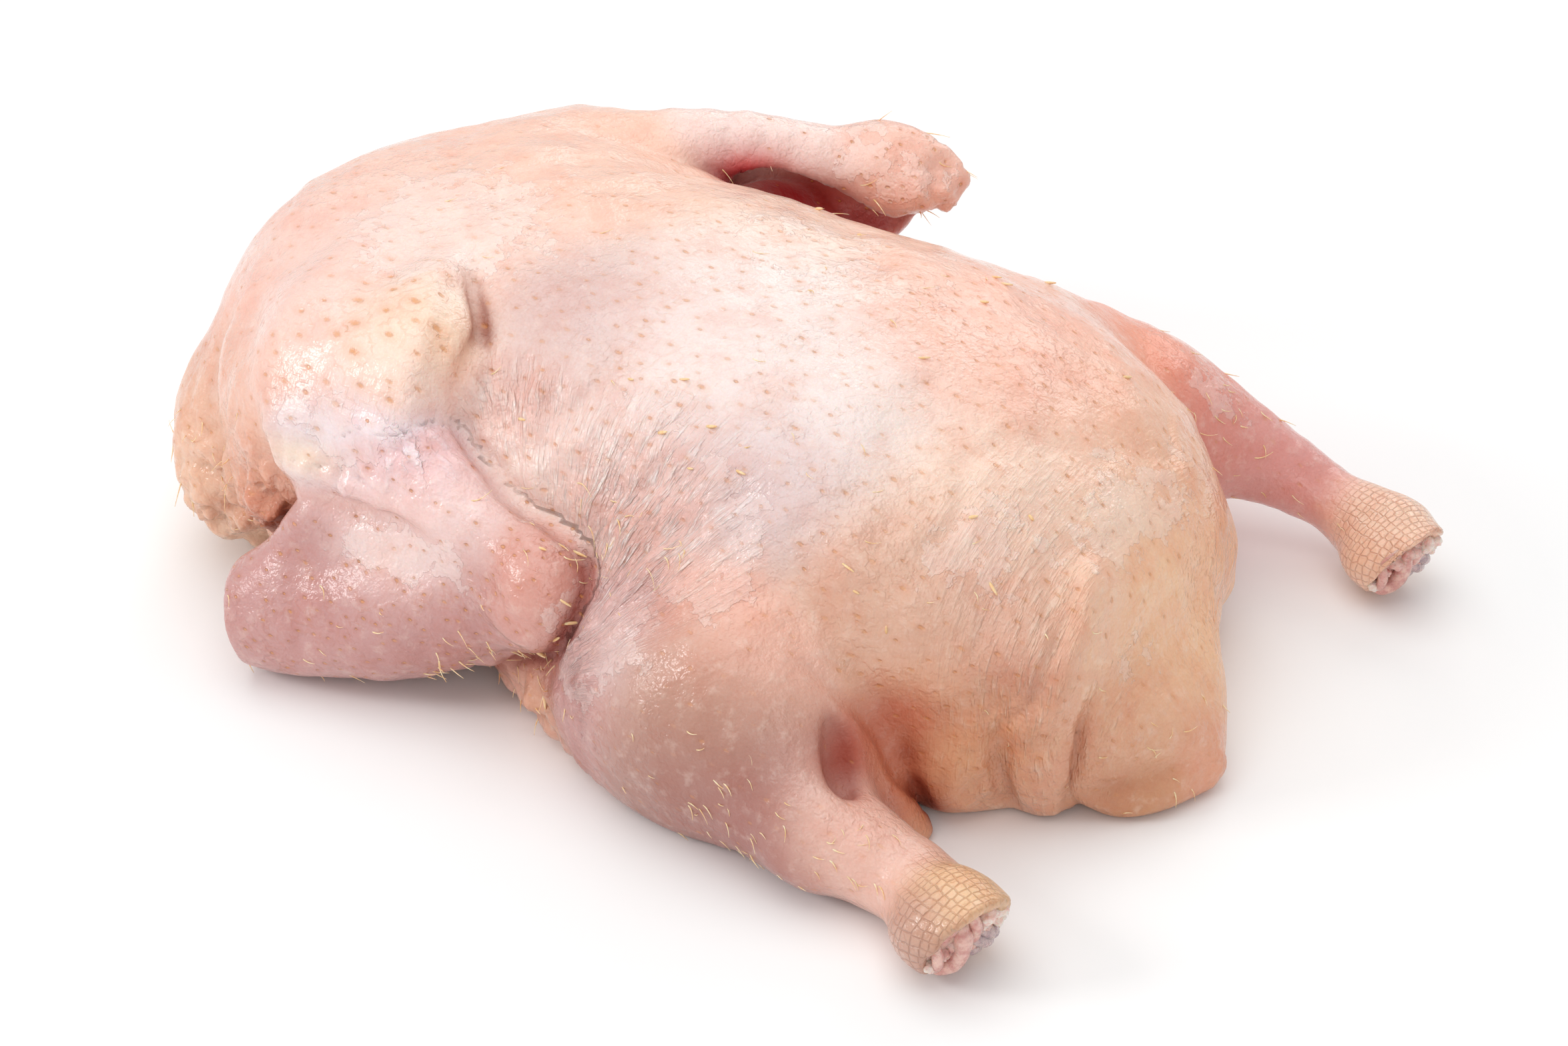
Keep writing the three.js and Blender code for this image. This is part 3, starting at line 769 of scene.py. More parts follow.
# Where patches of wet film with painted highlight lie: the middle, the reach in mm and how strong
FILM_AND_SHEEN = (
    ((-78, -22, 101), (30, 32, 22), 1.0),
    ((24, -74, 68), (34, 24, 24), 1.0),
    ((18, -92, 44), (18, 16, 26), 1.0),
    ((-46, -93, 49), (20, 10, 9), 0.95),
    ((-68, -86, 76), (22, 10, 9), 0.9),
    ((98, -45, 73), (16, 20, 14), 0.8),
    ((118, 0, 66), (24, 40, 16), 0.65),
    ((-10, 90, 86), (30, 14, 12), 0.75),
    ((100, 84, 48), (24, 14, 14), 0.6),
    ((130, -26, 40), (14, 16, 12), 0.5),
    ((10, 30, 100), (50, 40, 14), 0.5),
)


def linear(colour):
    """A hex colour as linear light."""
    srgb = np.array([int(colour[i:i + 2], 16) for i in (0, 2, 4)]) / 255
    return np.where(srgb < 0.04045, srgb / 12.92, ((srgb + 0.055) / 1.055) ** 2.4)


def painted(p, member, closed):
    """The skin's colour at every point: the tints, with stains, painted shade and painted highlight over
    them, and painted shade where the point is closed in.
    """
    total, weight = np.zeros((len(p), 3)), np.full(len(p), 1e-7)
    for region, place, reach, colour in TINTS.values():
        w = patch(p, place, (1.25 * reach,) * 3) * (member[:, region] + 0.01)
        w += 1e-5 * patch(p, place, (90,) * 3)
        total += w[:, None] * linear(colour)
        weight += w
    colour = total / weight[:, None]
    # Stains, painted shade and painted highlight laid over the tints
    for place, reach, stain_or_shade, strength in STAINS_AND_SHADE:
        share = strength * patch(p, place, reach)[:, None]
        colour = colour * (1 - share) + linear(stain_or_shade) * share
    # Painted shade: the more closed in a point is, the more it is darkened towards the crease shade
    shade = (0.75 * closed)[:, None]
    return colour * (1 - shade) + colour * linear(CREASE_SHADE) / linear("efc4ae") * shade


# ---- Relief ----------------------------------------------------------------------------------

ARMPIT = (0, -95, 22)


def creased(values):
    """Rounded folds with sharp valleys between them."""
    return 2.2 * np.abs(values) - 0.45


def about_armpit(p):
    """Distance from the armpit, and the angle round it in turns of the flank."""
    x, z = p[:, 0] - ARMPIT[0], p[:, 2] - ARMPIT[2] + 0.35 * (p[:, 1] - ARMPIT[1])
    return np.hypot(x, z), np.arctan2(z, x)


def around_body(p):
    return 70 * np.arctan2(p[:, 1], p[:, 2] - 18)


# Where the skin folds in its own way: the middle, the reach in mm and how strongly
ZONES = {
    "fan": (((14, -72, 66), (32, 26, 30), 1), ((-28, -62, 84), (18, 12, 16), 0.8),
            ((6, -90, 30), (16, 16, 24), 1)),
    "gather": (((112, -40, 34), (24, 26, 36), 1), ((100, -30, 70), (20, 30, 16), 0.5),
               ((120, 30, 40), (20, 24, 30), 0.6)),
    "neck": (((-112, -70, 22), (26, 30, 26), 1), ((-98, -84, 38), (16, 14, 22), 1)),
    "root": (((-56, -80, 78), (28, 14, 15), 1),),
    "ridge": (((-86, -88, 66), (12, 10, 8), 1), ((-70, -88, 63), (18, 10, 6), 1)),
    "underarm": (((-12, -86, 10), (22, 18, 16), 1),),
    "tip": (((2, 100, 78), (11, 12, 14), 1),),
}


def zones(p, member):
    """Where the skin is crumpled, fanned, gathered or scaly, each from 0 to 1."""
    body, near_leg, far_leg, near_wing, far_wing = member.T
    out = {name: strongest(p, patches) for name, patches in ZONES.items()}
    out["fan"] = out["fan"] * (1 - near_wing) * step(8, 24, about_armpit(p)[0])
    for name, part in (("gather", body), ("neck", body), ("root", near_wing), ("ridge", near_wing),
                       ("tip", far_wing)):
        out[name] = out[name] * part
    near = step(110, 122, p[:, 0]) * near_leg
    far = step(128, 140, p[:, 0]) * far_leg
    for middle, way, radius in HOCK_CUTS.values():
        cut = step(-1.5, -0.3, (p - middle) @ way) * patch(p, middle, (1.6 * radius,) * 3)
        near, far = near * (1 - cut), far * (1 - cut)
    out["scales"] = np.maximum(near, far)
    out["wing"] = near_wing + far_wing
    return out


def relief(p, zone):
    """How far the skin stands out over its smooth lobes, in mm: swells, fans, pleats and wrinkles."""
    radius, turn = about_armpit(p)
    height = 0.8 * noise(p, 34, 1) + 0.6 * noise(p, 15, 2) + 0.25 * noise(p, 6, 3)
    fan = np.stack((radius / 24 + noise(p, 20, 4), 9 * turn, 0 * turn), 1)
    height += zone["fan"] * (1.6 * creased(noise(fan, 1)) + 0.7 * creased(noise(fan * (1.5, 2.1, 1), 1, 1)))
    pleat = np.stack((around_body(p) / 40, p[:, 0] / 8 + noise(p, 18, 5), 0 * turn), 1)
    gathered = 1.3 * creased(noise(pleat, 1)) + 0.6 * creased(noise(pleat * (1.5, 2.2, 1), 1, 2))
    height += zone["gather"] * gathered
    pucker = p / (6, 8, 11)
    height += zone["neck"] * (2.0 * creased(noise(pucker, 1, 6)) + 1.1 * creased(noise(p, 4.2, 7)))
    height += zone["tip"] * (1.5 * creased(noise(p, (9, 6, 6), 13)) + 0.8 * creased(noise(p, 4.2, 14)))
    height += zone["ridge"] * (1.0 * creased(noise(p, 4.5, 10)) + 0.8 * creased(noise(p, (7, 4, 4), 11)))
    height += zone["underarm"] * 1.3 * creased(noise(p, 7, 9))
    root = np.stack((p[:, 0] / 20, p[:, 1] / 5 + p[:, 2] / 7, 0 * turn), 1)
    rooted = creased(noise(root, 1, 8)) + 0.6 * creased(noise(root * (1.6, 2.1, 1), 1, 12))
    height += zone["root"] * rooted
    return height * step(0.5, 6, p[:, 2])


# ---- Follicles -------------------------------------------------------------------------------


def along_limb(p, stations):
    """How far along a limb points are, and how far round it, in mm."""
    rows = curve_through(stations, 3)
    best = np.full(len(p), 1e9)
    along, around = np.zeros(len(p)), np.zeros(len(p))
    start = 0.0
    for a, b in zip(rows[:-1], rows[1:]):
        bone = b[:3] - a[:3]
        length = np.linalg.norm(bone)
        bone /= length
        t = (p - a[:3]) @ bone
        off = p - a[:3] - t[:, None] * bone
        away = np.linalg.norm(p - a[:3] - np.clip(t, 0, length)[:, None] * bone, axis=1)
        side = unit(np.cross(bone, (0, 0, 1)))
        nearer = away < best
        angle = np.arctan2(off @ side, off @ np.cross(side, bone))
        along = np.where(nearer, start + t, along)
        around = np.where(nearer, angle * (a[3] + b[3]) / 2, around)
        best = np.minimum(best, away)
        start += length
    return along, around


def charts(p, region):
    """Two lengths in mm across the skin of each region, for what grows in rows."""
    u, v = p[:, 0].astype(float), around_body(p).astype(float)
    for legs, stations, start in ((NEAR_LEG, SHANKS[NEAR], 84), (FAR_LEG, SHANKS[FAR], 98)):
        on = (region == legs) & (p[:, 0] > start)
        u[on], v[on] = along_limb(p[on], stations)
    for wings, stations in ((NEAR_WING, FOREARMS[NEAR]), (FAR_WING, FOREARMS[FAR])):
        on = region == wings
        u[on], v[on] = along_limb(p[on], stations)
    return u, v


def follicles(p, member, zone, settings):
    """Where feathers grew: the vertex, its stretch along and across the feather, and how dark it is."""
    rng = np.random.default_rng(5)
    region = member.argmax(1)
    u, v = charts(p, region)
    found = []
    for part in range(5):
        on = np.flatnonzero(region == part)
        tree = KDTree(len(on))
        for i, a, b in zip(on, u[on], v[on]):
            tree.insert((a, b, 0), int(i))
        tree.balance()
        pitch = np.array(settings.pore_pitch) * 1000 * (0.66 if part in (NEAR_WING, FAR_WING) else 1)
        spots = np.stack(np.meshgrid(np.arange(u[on].min(), u[on].max(), pitch / 2),
                                     np.arange(v[on].min(), v[on].max(), pitch / 2), indexing="ij"), -1)
        spots = spots[np.add.outer(np.arange(spots.shape[0]), np.arange(spots.shape[1])) % 2 == 0]
        spots = np.c_[spots, np.zeros(len(spots))].astype(np.float32)
        spots[:, 0] += 6 * noise(spots, 60, 21) + rng.normal(0, 0.9, len(spots))
        spots[:, 1] += 6 * noise(spots, 60, 22) + rng.normal(0, 0.9, len(spots))
        for spot in spots:
            place, index, away = tree.find(spot)
            if away < 1.3:
                found.append(index)
    rng.shuffle(found)
    kept, taken = [], {}
    for i in found:
        key = tuple((p[i] // 4.4).astype(int))
        near = (taken.get((key[0] + a, key[1] + b, key[2] + c)) for a, b, c in product((-1, 0, 1), repeat=3))
        room = 3.3 if region[i] in (NEAR_WING, FAR_WING) else 4.4
        if all(j is None or np.linalg.norm(p[i] - p[j]) > room for j in near):
            taken[key] = i
            kept.append(i)
    kept = np.array(kept)
    q = p[kept]
    hump = patch(q, (-66, -62, 92), (20, 22, 20))
    plain = np.maximum(patch(q, (-90, 30, 95), (50, 45, 40)), patch(q, (-112, -45, 70), (16, 40, 40)))
    legs = member[kept, NEAR_LEG] + member[kept, FAR_LEG]
    wings = member[kept, NEAR_WING] + member[kept, FAR_WING]
    dark = 0.62 + rng.uniform(-0.25, 0.2, len(kept)) + 0.4 * hump - 0.42 * plain * (1 - hump)
    dark += 0.28 * wings - 0.3 * legs
    dark -= 0.7 * zone["scales"][kept] + 0.35 * step(120, 150, q[:, 0])
    dark *= step(1, 8, q[:, 2])
    size = rng.uniform(0.7, 1.2, len(kept)) * (1 + 1.15 * hump - 0.25 * wings)
    return kept, size[:, None] * np.stack((1.15 - 0.1 * wings, 0.62 + 0.06 * wings), 1), np.clip(dark, 0, 1)


def follicle_frame(p, normal, centres, stretch):
    """For each point, its place in feather widths from the nearest follicle, and which one that is."""
    tree = KDTree(len(centres))
    for i, place in enumerate(p[centres]):
        tree.insert(place, i)
    tree.balance()
    nearest = np.array([tree.find(place)[1] for place in p])
    lie = np.tile((1.0, 0.0, -0.25), (len(centres), 1))
    n = normal[centres]
    lie -= (lie * n).sum(1, keepdims=True) * n
    lie /= np.maximum(np.linalg.norm(lie, axis=1, keepdims=True), 1e-6)
    across = np.cross(n, lie)
    off = p - p[centres[nearest]]
    along, across, stretch = (off * lie[nearest]).sum(1), (off * across[nearest]).sum(1), stretch[nearest]
    away = np.linalg.norm(off, axis=1)
    return np.stack((along / stretch[:, 0], across / stretch[:, 1], away / stretch.max(1)), 1), nearest


# ---- From the bird to the frame --------------------------------------------------------------

SCALE = (BOX_HIGH[0] - BOX_LOW[0]) / BIRD_LENGTH
STAND = np.array(((BOX_LOW[0] + BOX_HIGH[0]) / 2, (BOX_LOW[1] + BOX_HIGH[1]) / 2, BOX_LOW[2]))


def placed(points):
    """Millimetres along the bird as metres in the frame."""
    return (np.asarray(points, float) - BIRD_MIDDLE) * SCALE + STAND


def in_bird(points):
    """Metres in the frame as millimetres along the bird."""
    return (np.asarray(points, float) - STAND) / SCALE + BIRD_MIDDLE


def made(name, vertices, faces, material):
    """A new piece from points in bird millimetres."""
    mesh = bpy.data.meshes.new(name)
    mesh.from_pydata(placed(vertices).tolist(), [], [tuple(map(int, face)) for face in faces])
    mesh.polygons.foreach_set("use_smooth", [True] * len(mesh.polygons))
    mesh.materials.append(material)
    mesh.update()
    piece = bpy.data.objects.new(name, mesh)
    bpy.context.scene.collection.objects.link(piece)
    return piece


def dressed(piece, replaced=False):
    """Fixes a piece to the bird, and hides the imported duck if the piece replaces it."""
    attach(piece, "root")
    if replaced:
        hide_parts("duck")
    return piece


def store(piece, name, kind, values):
    """Keep one value, colour or vector for each point of a piece."""
    layer = piece.data.attributes.new(name, kind, "POINT")
    field = {"FLOAT": "value", "FLOAT_COLOR": "color", "FLOAT_VECTOR": "vector"}[kind]
    layer.data.foreach_set(field, np.asarray(values, np.float32).ravel())


# ---- Materials -------------------------------------------------------------------------------


class Recipe:
    """A material and the nodes that pattern it."""

    def __init__(self, name, **uniform):
        self.material = bpy.data.materials.new(name)
        self.material.use_nodes = True
        self.tree = self.material.node_tree
        self.shader = self.tree.nodes["Principled BSDF"]
        for socket, value in uniform.items():
            self.shader.inputs[socket.replace("_", " ")].default_value = value

    def add(self, kind, inputs=None, output=0, **settings):
        node = self.tree.nodes.new("ShaderNode" + kind)
        for name, value in settings.items():
            setattr(node, name, value)
        for name, value in (inputs or {}).items():
            self.wire(node.inputs[name], value)
        return node.outputs[output]

    def wire(self, socket, value):
        if isinstance(value, bpy.types.NodeSocket):
            self.tree.links.new(value, socket)
        else:
            socket.default_value = value

    def attribute(self, name, output="Vector"):
        return self.add("Attribute", output=output, attribute_name=name)

    def parts(self, vector):
        node = self.tree.nodes.new("ShaderNodeSeparateXYZ")
        self.tree.links.new(vector, node.inputs[0])
        return node.outputs

    def math(self, operation, a, b=0.0, c=0.0):
        return self.add("Math", {0: a, 1: b, 2: c}, operation=operation)

    def ramp(self, value, low, high, to_low=0.0, to_high=1.0):
        return self.add("MapRange", {"Value": value, "From Min": low, "From Max": high, "To Min": to_low,
                                     "To Max": to_high}, interpolation_type="SMOOTHSTEP")

    def noise(self, vector, scale, detail=2.0, rough=0.5):
        return self.add("TexNoise", {"Vector": vector, "Scale": scale, "Detail": detail, "Roughness": rough})

    def mix(self, share, a, b, blend="MIX"):
        return self.add("Mix", {0: share, 6: a, 7: b}, output=2, data_type="RGBA", blend_type=blend)

    def total(self, *terms):
        out = terms[0]
        for term in terms[1:]:
            out = self.math("ADD", out, term)
        return out

    def finish(self, colour, roughness, height):
        """Wire what was worked out into the shader; height is in mm."""
        bump = self.add("Bump", {"Height": height, "Strength": 1.0, "Distance": 0.001})
        self.wire(self.shader.inputs["Base Color"], colour)
        self.wire(self.shader.inputs["Roughness"], roughness)
        self.wire(self.shader.inputs["Normal"], bump)
        self.wire(self.shader.inputs["Coat Normal"], bump)
        return self.material


def skin_material(settings):
    r = Recipe("duck skin", Subsurface_Weight=0.25, Subsurface_Scale=settings.glow_depth, Coat_Roughness=0.13,
               Coat_IOR=1.45)
    r.shader.inputs["Subsurface Radius"].default_value = (1.0, 0.45, 0.3)
    place = r.add("TexCoord", output="Object")
    pore_x, pore_y, pore_far = r.parts(r.attribute("pore"))
    dark, bumpy, scaly = r.parts(r.attribute("finish"))
    grain = r.attribute("grain")
    grain_u, grain_v, crepe = r.parts(grain)
    fine = r.noise(place, 900.0, 2.0)

    # Follicles: a low mound with a dark pit in it
    square = r.math("ADD", r.math("MULTIPLY", pore_x, pore_x), r.math("MULTIPLY", pore_y, pore_y))
    reach = r.math("MAXIMUM", r.math("SQRT", square), r.math("MULTIPLY", pore_far, 0.6))
    reach = r.math("ADD", reach, r.math("MULTIPLY_ADD", fine, 0.9, -0.45))
    pit = r.math("MULTIPLY", r.ramp(reach, 0.25, 1.05, 1.0, 0.0), dark)
    mound = r.math("MULTIPLY", r.ramp(reach, 0.8, 3.2, 1.0, 0.0), dark)

    colour = r.attribute("tint", "Color")
    blotch = r.noise(place, 70.0, 3.0, 0.6)
    colour = r.mix(r.ramp(blotch, 0.42, 0.7, 0.0, 0.45), colour, (0.93, 0.72, 0.66, 1), "MULTIPLY")
    pale = r.noise(place, 260.0, 3.0, 0.65)
    bare = r.attribute("tint", "Alpha")
    colour = r.mix(r.math("MULTIPLY", r.ramp(pale, 0.5, 0.75, 0.0, 0.17), bare), colour, (1.0, 0.86, 0.76, 1))
    speck = r.noise(place, 1500.0, 1.0)
    colour = r.mix(r.ramp(speck, 0.3, 0.75, 0.0, 0.16), colour, (0.82, 0.62, 0.54, 1), "MULTIPLY")
    colour = r.mix(r.math("MULTIPLY", mound, 0.3), colour, (0.9, 0.6, 0.42, 1), "MULTIPLY")
    colour = r.mix(r.math("MULTIPLY", pit, 0.72), colour, (*settings.pore_colour, 1))

    # Crinkles: a net of fine lines, stronger in patches
    net = r.math("ABSOLUTE", r.math("MULTIPLY_ADD", r.noise(place, 170.0, 3.0, 0.62), 2.0, -1.0))
    patches = r.ramp(r.noise(place, 26.0, 2.0), 0.38, 0.62, 0.15, 1.0)
    net = r.math("MULTIPLY", r.ramp(net, 0.0, 0.16, 1.0, 0.0), patches)
    colour = r.mix(r.math("MULTIPLY", net, 0.1), colour, (0.86, 0.6, 0.52, 1), "MULTIPLY")

    # Patches of wet film, drawn paler as painted highlight
    torn = r.noise(place, 105.0, 4.0, 0.66)
    film_and_sheen_reach = r.math("SUBTRACT", r.attribute("film_and_sheen", "Fac"), 0.85)
    film_and_sheen = r.ramp(r.math("MULTIPLY_ADD", torn, 1.7, film_and_sheen_reach), 0.5, 0.55)
    colour = r.mix(r.math("MULTIPLY", r.math("MULTIPLY", film_and_sheen, 0.2), bare), colour, (1.0, 0.92, 0.88, 1))

    # Crepe: fine folds along the grain, with painted shade in their valleys and painted highlight on their
    # crests
    streak = r.add("VectorMath", {0: grain, 1: (1 / 14, 1 / 2.1, 0)}, operation="MULTIPLY")
    folds = r.math("ABSOLUTE", r.math("MULTIPLY_ADD", r.noise(streak, 1.0, 3.0, 0.6), 2.0, -1.0))
    folds = r.ramp(folds, 0.0, 0.42)
    valley_shade = r.math("MULTIPLY", r.math("SUBTRACT", 1.0, folds), r.math("MULTIPLY", crepe, 0.7))
    colour = r.mix(valley_shade, colour, (0.78, 0.42, 0.36, 1), "MULTIPLY")
    crest_highlight = r.math("MULTIPLY", r.ramp(folds, 0.75, 1.0), r.math("MULTIPLY", crepe, 0.3))
    colour = r.mix(crest_highlight, colour, (1.0, 0.86, 0.8, 1))

    # Scales towards the hocks
    tiles = r.add("VectorMath", {0: grain, 1: (1 / 2.1, 1 / 2.3, 0)}, operation="MULTIPLY")
    edge = r.add("TexVoronoi", {"Vector": tiles, "Scale": 1.0, "Randomness": 0.3}, output="Distance",
                 feature="DISTANCE_TO_EDGE", voronoi_dimensions="2D")
    seam = r.math("MULTIPLY", r.ramp(edge, 0.0, 0.14, 1.0, 0.0), scaly)
    colour = r.mix(r.math("MULTIPLY", seam, 0.3), colour, (0.72, 0.42, 0.26, 1), "MULTIPLY")

    goose = r.add("TexVoronoi", {"Vector": place, "Scale": 420.0, "Randomness": 0.9}, output="Distance",
                  feature="F1")
    height = r.total(
        r.math("MULTIPLY", folds, r.math("MULTIPLY", crepe, 0.9)),
        r.math("MULTIPLY", mound, 0.12),
        r.math("MULTIPLY", pit, -0.3),
        r.math("MULTIPLY", seam, -0.22),
        r.math("MULTIPLY", goose, r.math("MULTIPLY", bumpy, -0.5)),
        r.math("MULTIPLY", pale, 0.5),
        r.math("MULTIPLY", net, -0.12),
        r.math("MULTIPLY", film_and_sheen, 0.16),
        r.math("MULTIPLY", fine, 0.09),
    )
    moist = r.noise(place, 60.0, 3.0, 0.6)
    rough = r.math("ADD", r.ramp(moist, 0.35, 0.65, 0.30, 0.44), r.math("MULTIPLY", fine, 0.1))
    wet = r.math("MULTIPLY", r.ramp(moist, 0.62, 0.4, 0.5, 1.0), bare)
    r.wire(r.shader.inputs["Coat Weight"], r.math("MULTIPLY", wet, settings.wetness))
    r.wire(r.shader.inputs["Specular IOR Level"], r.math("MULTIPLY_ADD", bare, 0.35, 0.15))
    return r.finish(colour, rough, height)


def meat_material(name, light, dark, rough):
    """Wet raw tissue that runs between two colours."""
    r = Recipe(name, Subsurface_Weight=0.3, Subsurface_Scale=0.002, Coat_Weight=0.5, Coat_Roughness=0.1)
    place = r.add("TexCoord", output="Object")
    grain = r.noise(place, 420.0, 4.0, 0.65)
    colour = r.mix(r.ramp(grain, 0.35, 0.65), (*light, 1), (*dark, 1))
    fine = r.noise(place, 1600.0, 2.0)
    height = r.total(r.math("MULTIPLY", grain, 0.5), r.math("MULTIPLY", fine, 0.12))
    return r.finish(colour, r.ramp(fine, 0.3, 0.7, rough - 0.08, rough + 0.08), height)


def quill_material(name, light, dark):
    r = Recipe(name, Subsurface_Weight=0.2, Subsurface_Scale=0.001, Coat_Weight=0.1)
    place = r.add("TexCoord", output="Object")
    streak = r.noise(place, 700.0, 3.0)
    colour = r.mix(r.ramp(streak, 0.3, 0.7), (*light, 1), (*dark, 1))
    return r.finish(colour, r.ramp(streak, 0.3, 0.7, 0.35, 0.5), r.math("MULTIPLY", streak, 0.1))


def floor_material(settings):
    r = Recipe("studio paper")
    place = r.add("TexCoord", output="Object")
    fibre = r.noise(place, 300.0, 4.0, 0.6)
    base = np.array(settings.floor_colour)
    colour = r.mix(fibre, (*(0.99 * base), 1), (*base, 1))
    return r.finish(colour, r.ramp(fibre, 0.3, 0.7, 0.86, 0.92), r.math("MULTIPLY", fibre, 0.02))


# ---- Pieces ----------------------------------------------------------------------------------


def membership(p):
    """How much each point belongs to the body, the legs and the wings."""
    gaps = np.stack([measured(part, p) for part in (
        trunk_gap, lambda q: leg_gap(q, NEAR), lambda q: leg_gap(q, FAR),
        lambda q: wing_gap(q, NEAR), lambda q: wing_gap(q, FAR))], 1)
    share = np.exp(-(gaps - gaps.min(1, keepdims=True)) / 2.5)
    return share / share.sum(1, keepdims=True)


def closed_in(p, normal):
    """How much other skin stands in front of each point, from 0 in the open to 1 in a crease."""
    out = np.zeros(len(p))
    for reach in (2, 5, 11):
        gap = measured(duck_gap, (p + reach * normal).astype(np.float32))
        out += np.clip(1 - gap / reach, 0, 1) / 3
    return step(0.1, 0.75, out)


def folded(p, member, zone):
    """The grain of the skin's fine folds, as two lengths across it, and how strong the folds are."""
    along, around = charts(p, member.argmax(1))
    radius, turn = about_armpit(p)
    ahead = zone["fan"] - np.maximum(zone["gather"], 0.1)
    fanned, on_wing = ahead > 0, zone["wing"] > 0.5
    on_limb = (zone["scales"] > 0.02) | on_wing
    u = np.where(on_limb, along, np.where(fanned, radius, around))
    v = np.where(on_limb, around, np.where(fanned, 55 * turn, along))
    crepe = np.clip(zone["fan"] + 0.7 * zone["gather"] + 0.9 * zone["root"], 0, 1) * (1 - zone["scales"])
    crepe *= np.where(fanned & ~on_wing, 1, step(0.52, 0.8, member.max(1)))
    crepe *= np.where(on_wing, 1, step(0, 0.15, np.abs(ahead)))
    return u, v, crepe


def build_skin(settings):
    cell = settings.mesh_size * 1000
    low, high = (np.array(corner) for corner in SEARCHED)
    vertices, quads = surface_net(sampled(duck_gap, low, high, cell), low, cell)
    vertices = settled(duck_gap, vertices, quads, 3)
    smooth = vertices.astype(np.float32)
    normal = normals_of(vertices, quads)
    member = membership(smooth)
    closed = closed_in(smooth, normal)
    for _ in range(3):
        closed = np.maximum(closed, about(closed[:, None], quads)[:, 0])
    zone = zones(smooth, member)
    centres, stretch, dark = follicles(vertices, member, zone, settings)
    pores, nearest = follicle_frame(vertices, normal, centres, stretch)

    height = settings.relief * relief(smooth, zone) * (1 - 0.85 * step(0.25, 0.7, closed))
    height -= 0.22 * dark[nearest] * (pores[:, 2] < 0.1)
    vertices = vertices + height[:, None] * normal
    vertices[:, 2] = np.maximum(vertices[:, 2], 0)

    u, v, crepe = folded(smooth, member, zone)
    bumpy = np.clip(0.15 + zone["neck"] + 0.5 * zone["underarm"] + 0.5 * step(120, 140, smooth[:, 0]), 0, 1)
    bare = 1 - closed
    for middle, reach in DEEP:
        bare = bare * (1 - 0.9 * patch(smooth, middle, reach))

    skin = made("duck_skin", vertices, quads, skin_material(settings))
    store(skin, "tint", "FLOAT_COLOR", np.c_[painted(smooth, member, closed), bare])
    store(skin, "pore", "FLOAT_VECTOR", pores)
    store(skin, "film_and_sheen", "FLOAT", strongest(smooth, FILM_AND_SHEEN))
    store(skin, "finish", "FLOAT_VECTOR", np.stack((dark[nearest], bumpy, zone["scales"]), 1))
    store(skin, "grain", "FLOAT_VECTOR", np.stack((u, v, crepe), 1))
    return dressed(skin, replaced=True)


def lump(middle, radii, way, seed, rough=0.25, rings=14, around=18):
    """A knobbly blob whose last radius lies along way."""
    way = unit(way)
    side = unit(np.cross(way, (0.3, 0.2, 1)))
    frame = np.stack((side, np.cross(way, side), way))
    turn = np.linspace(0, 2 * math.pi, around, endpoint=False)
    tilt = np.linspace(0, math.pi, rings + 1)[1:-1]
    ball = np.stack((np.outer(np.sin(tilt), np.cos(turn)), np.outer(np.sin(tilt), np.sin(turn)),
                     np.outer(np.cos(tilt), np.ones(around))), -1).reshape(-1, 3)
    ball = np.vstack(((0, 0, 1), ball, (0, 0, -1)))
    ball32 = ball.astype(np.float32)
    swell = 1 + rough * noise(ball32, 0.6, seed) + 0.5 * rough * noise(ball32, 0.25, seed)
    vertices = middle + (ball * swell[:, None] * radii) @ frame
    faces = [(0, 1 + i, 1 + (i + 1) % around) for i in range(around)]
    for ring in range(rings - 2):
        a = 1 + ring * around
        faces += [(a + i, a + around + i, a + around + (i + 1) % around, a + (i + 1) % around)
                  for i in range(around)]
    a = 1 + (rings - 2) * around
    faces += [(len(vertices) - 1, a + (i + 1) % around, a + i) for i in range(around)]
    return vertices, faces


def tube(points, radii, sides=6):
    """A tapered tube through points, with rounded-off ends."""
    points = np.asarray(points, float)
    along = np.gradient(points, axis=0)
    along /= np.linalg.norm(along, axis=1, keepdims=True)
    side = np.cross(along, unit(np.cross(along[0], (0.31, 0.77, 0.55))))
    side /= np.linalg.norm(side, axis=1, keepdims=True)
    up = np.cross(along, side)
    turn = np.linspace(0, 2 * math.pi, sides, endpoint=False)
    circle = np.cos(turn)[:, None] * side[:, None] + np.sin(turn)[:, None] * up[:, None]
    rings = points[:, None] + np.asarray(radii)[:, None, None] * circle
    first, last = points[0] - along[0] * radii[0] * 0.5, points[-1] + along[-1] * radii[-1] * 0.5
    vertices = np.vstack((first, rings.reshape(-1, 3), last))
    faces = [(0, 1 + (i + 1) % sides, 1 + i) for i in range(sides)]
    for ring in range(len(points) - 1):
        a = 1 + ring * sides
        faces += [(a + i, a + (i + 1) % sides, a + sides + (i + 1) % sides, a + sides + i)
                  for i in range(sides)]
    a, tip = 1 + (len(points) - 1) * sides, len(vertices) - 1
    faces += [(tip, a + i, a + (i + 1) % sides) for i in range(sides)]
    return vertices, faces


def together(shapes):
    """Several shapes as one list of points and one list of faces."""
    vertices, faces, start = [], [], 0
    for points, loops in shapes:
        vertices.append(points)
        faces += [tuple(i + start for i in loop) for loop in loops]
        start += len(points)
    return np.concatenate(vertices), faces


def across_cut(way):
    """Two ways that lie in a cut, the first of them rising away from the near side."""
    across = unit(np.cross(np.cross(way, (0.47, 0.71, 0.52)), way))
    return across, np.cross(way, across)


def on_cut(middle, way, radius, places):
    """Points on a cut, from shares of its radius across and up it and how far they stand out in mm."""
    across, up = across_cut(way)
    return [middle + radius * (a * across + b * up) + out * way for a, b, out in places]


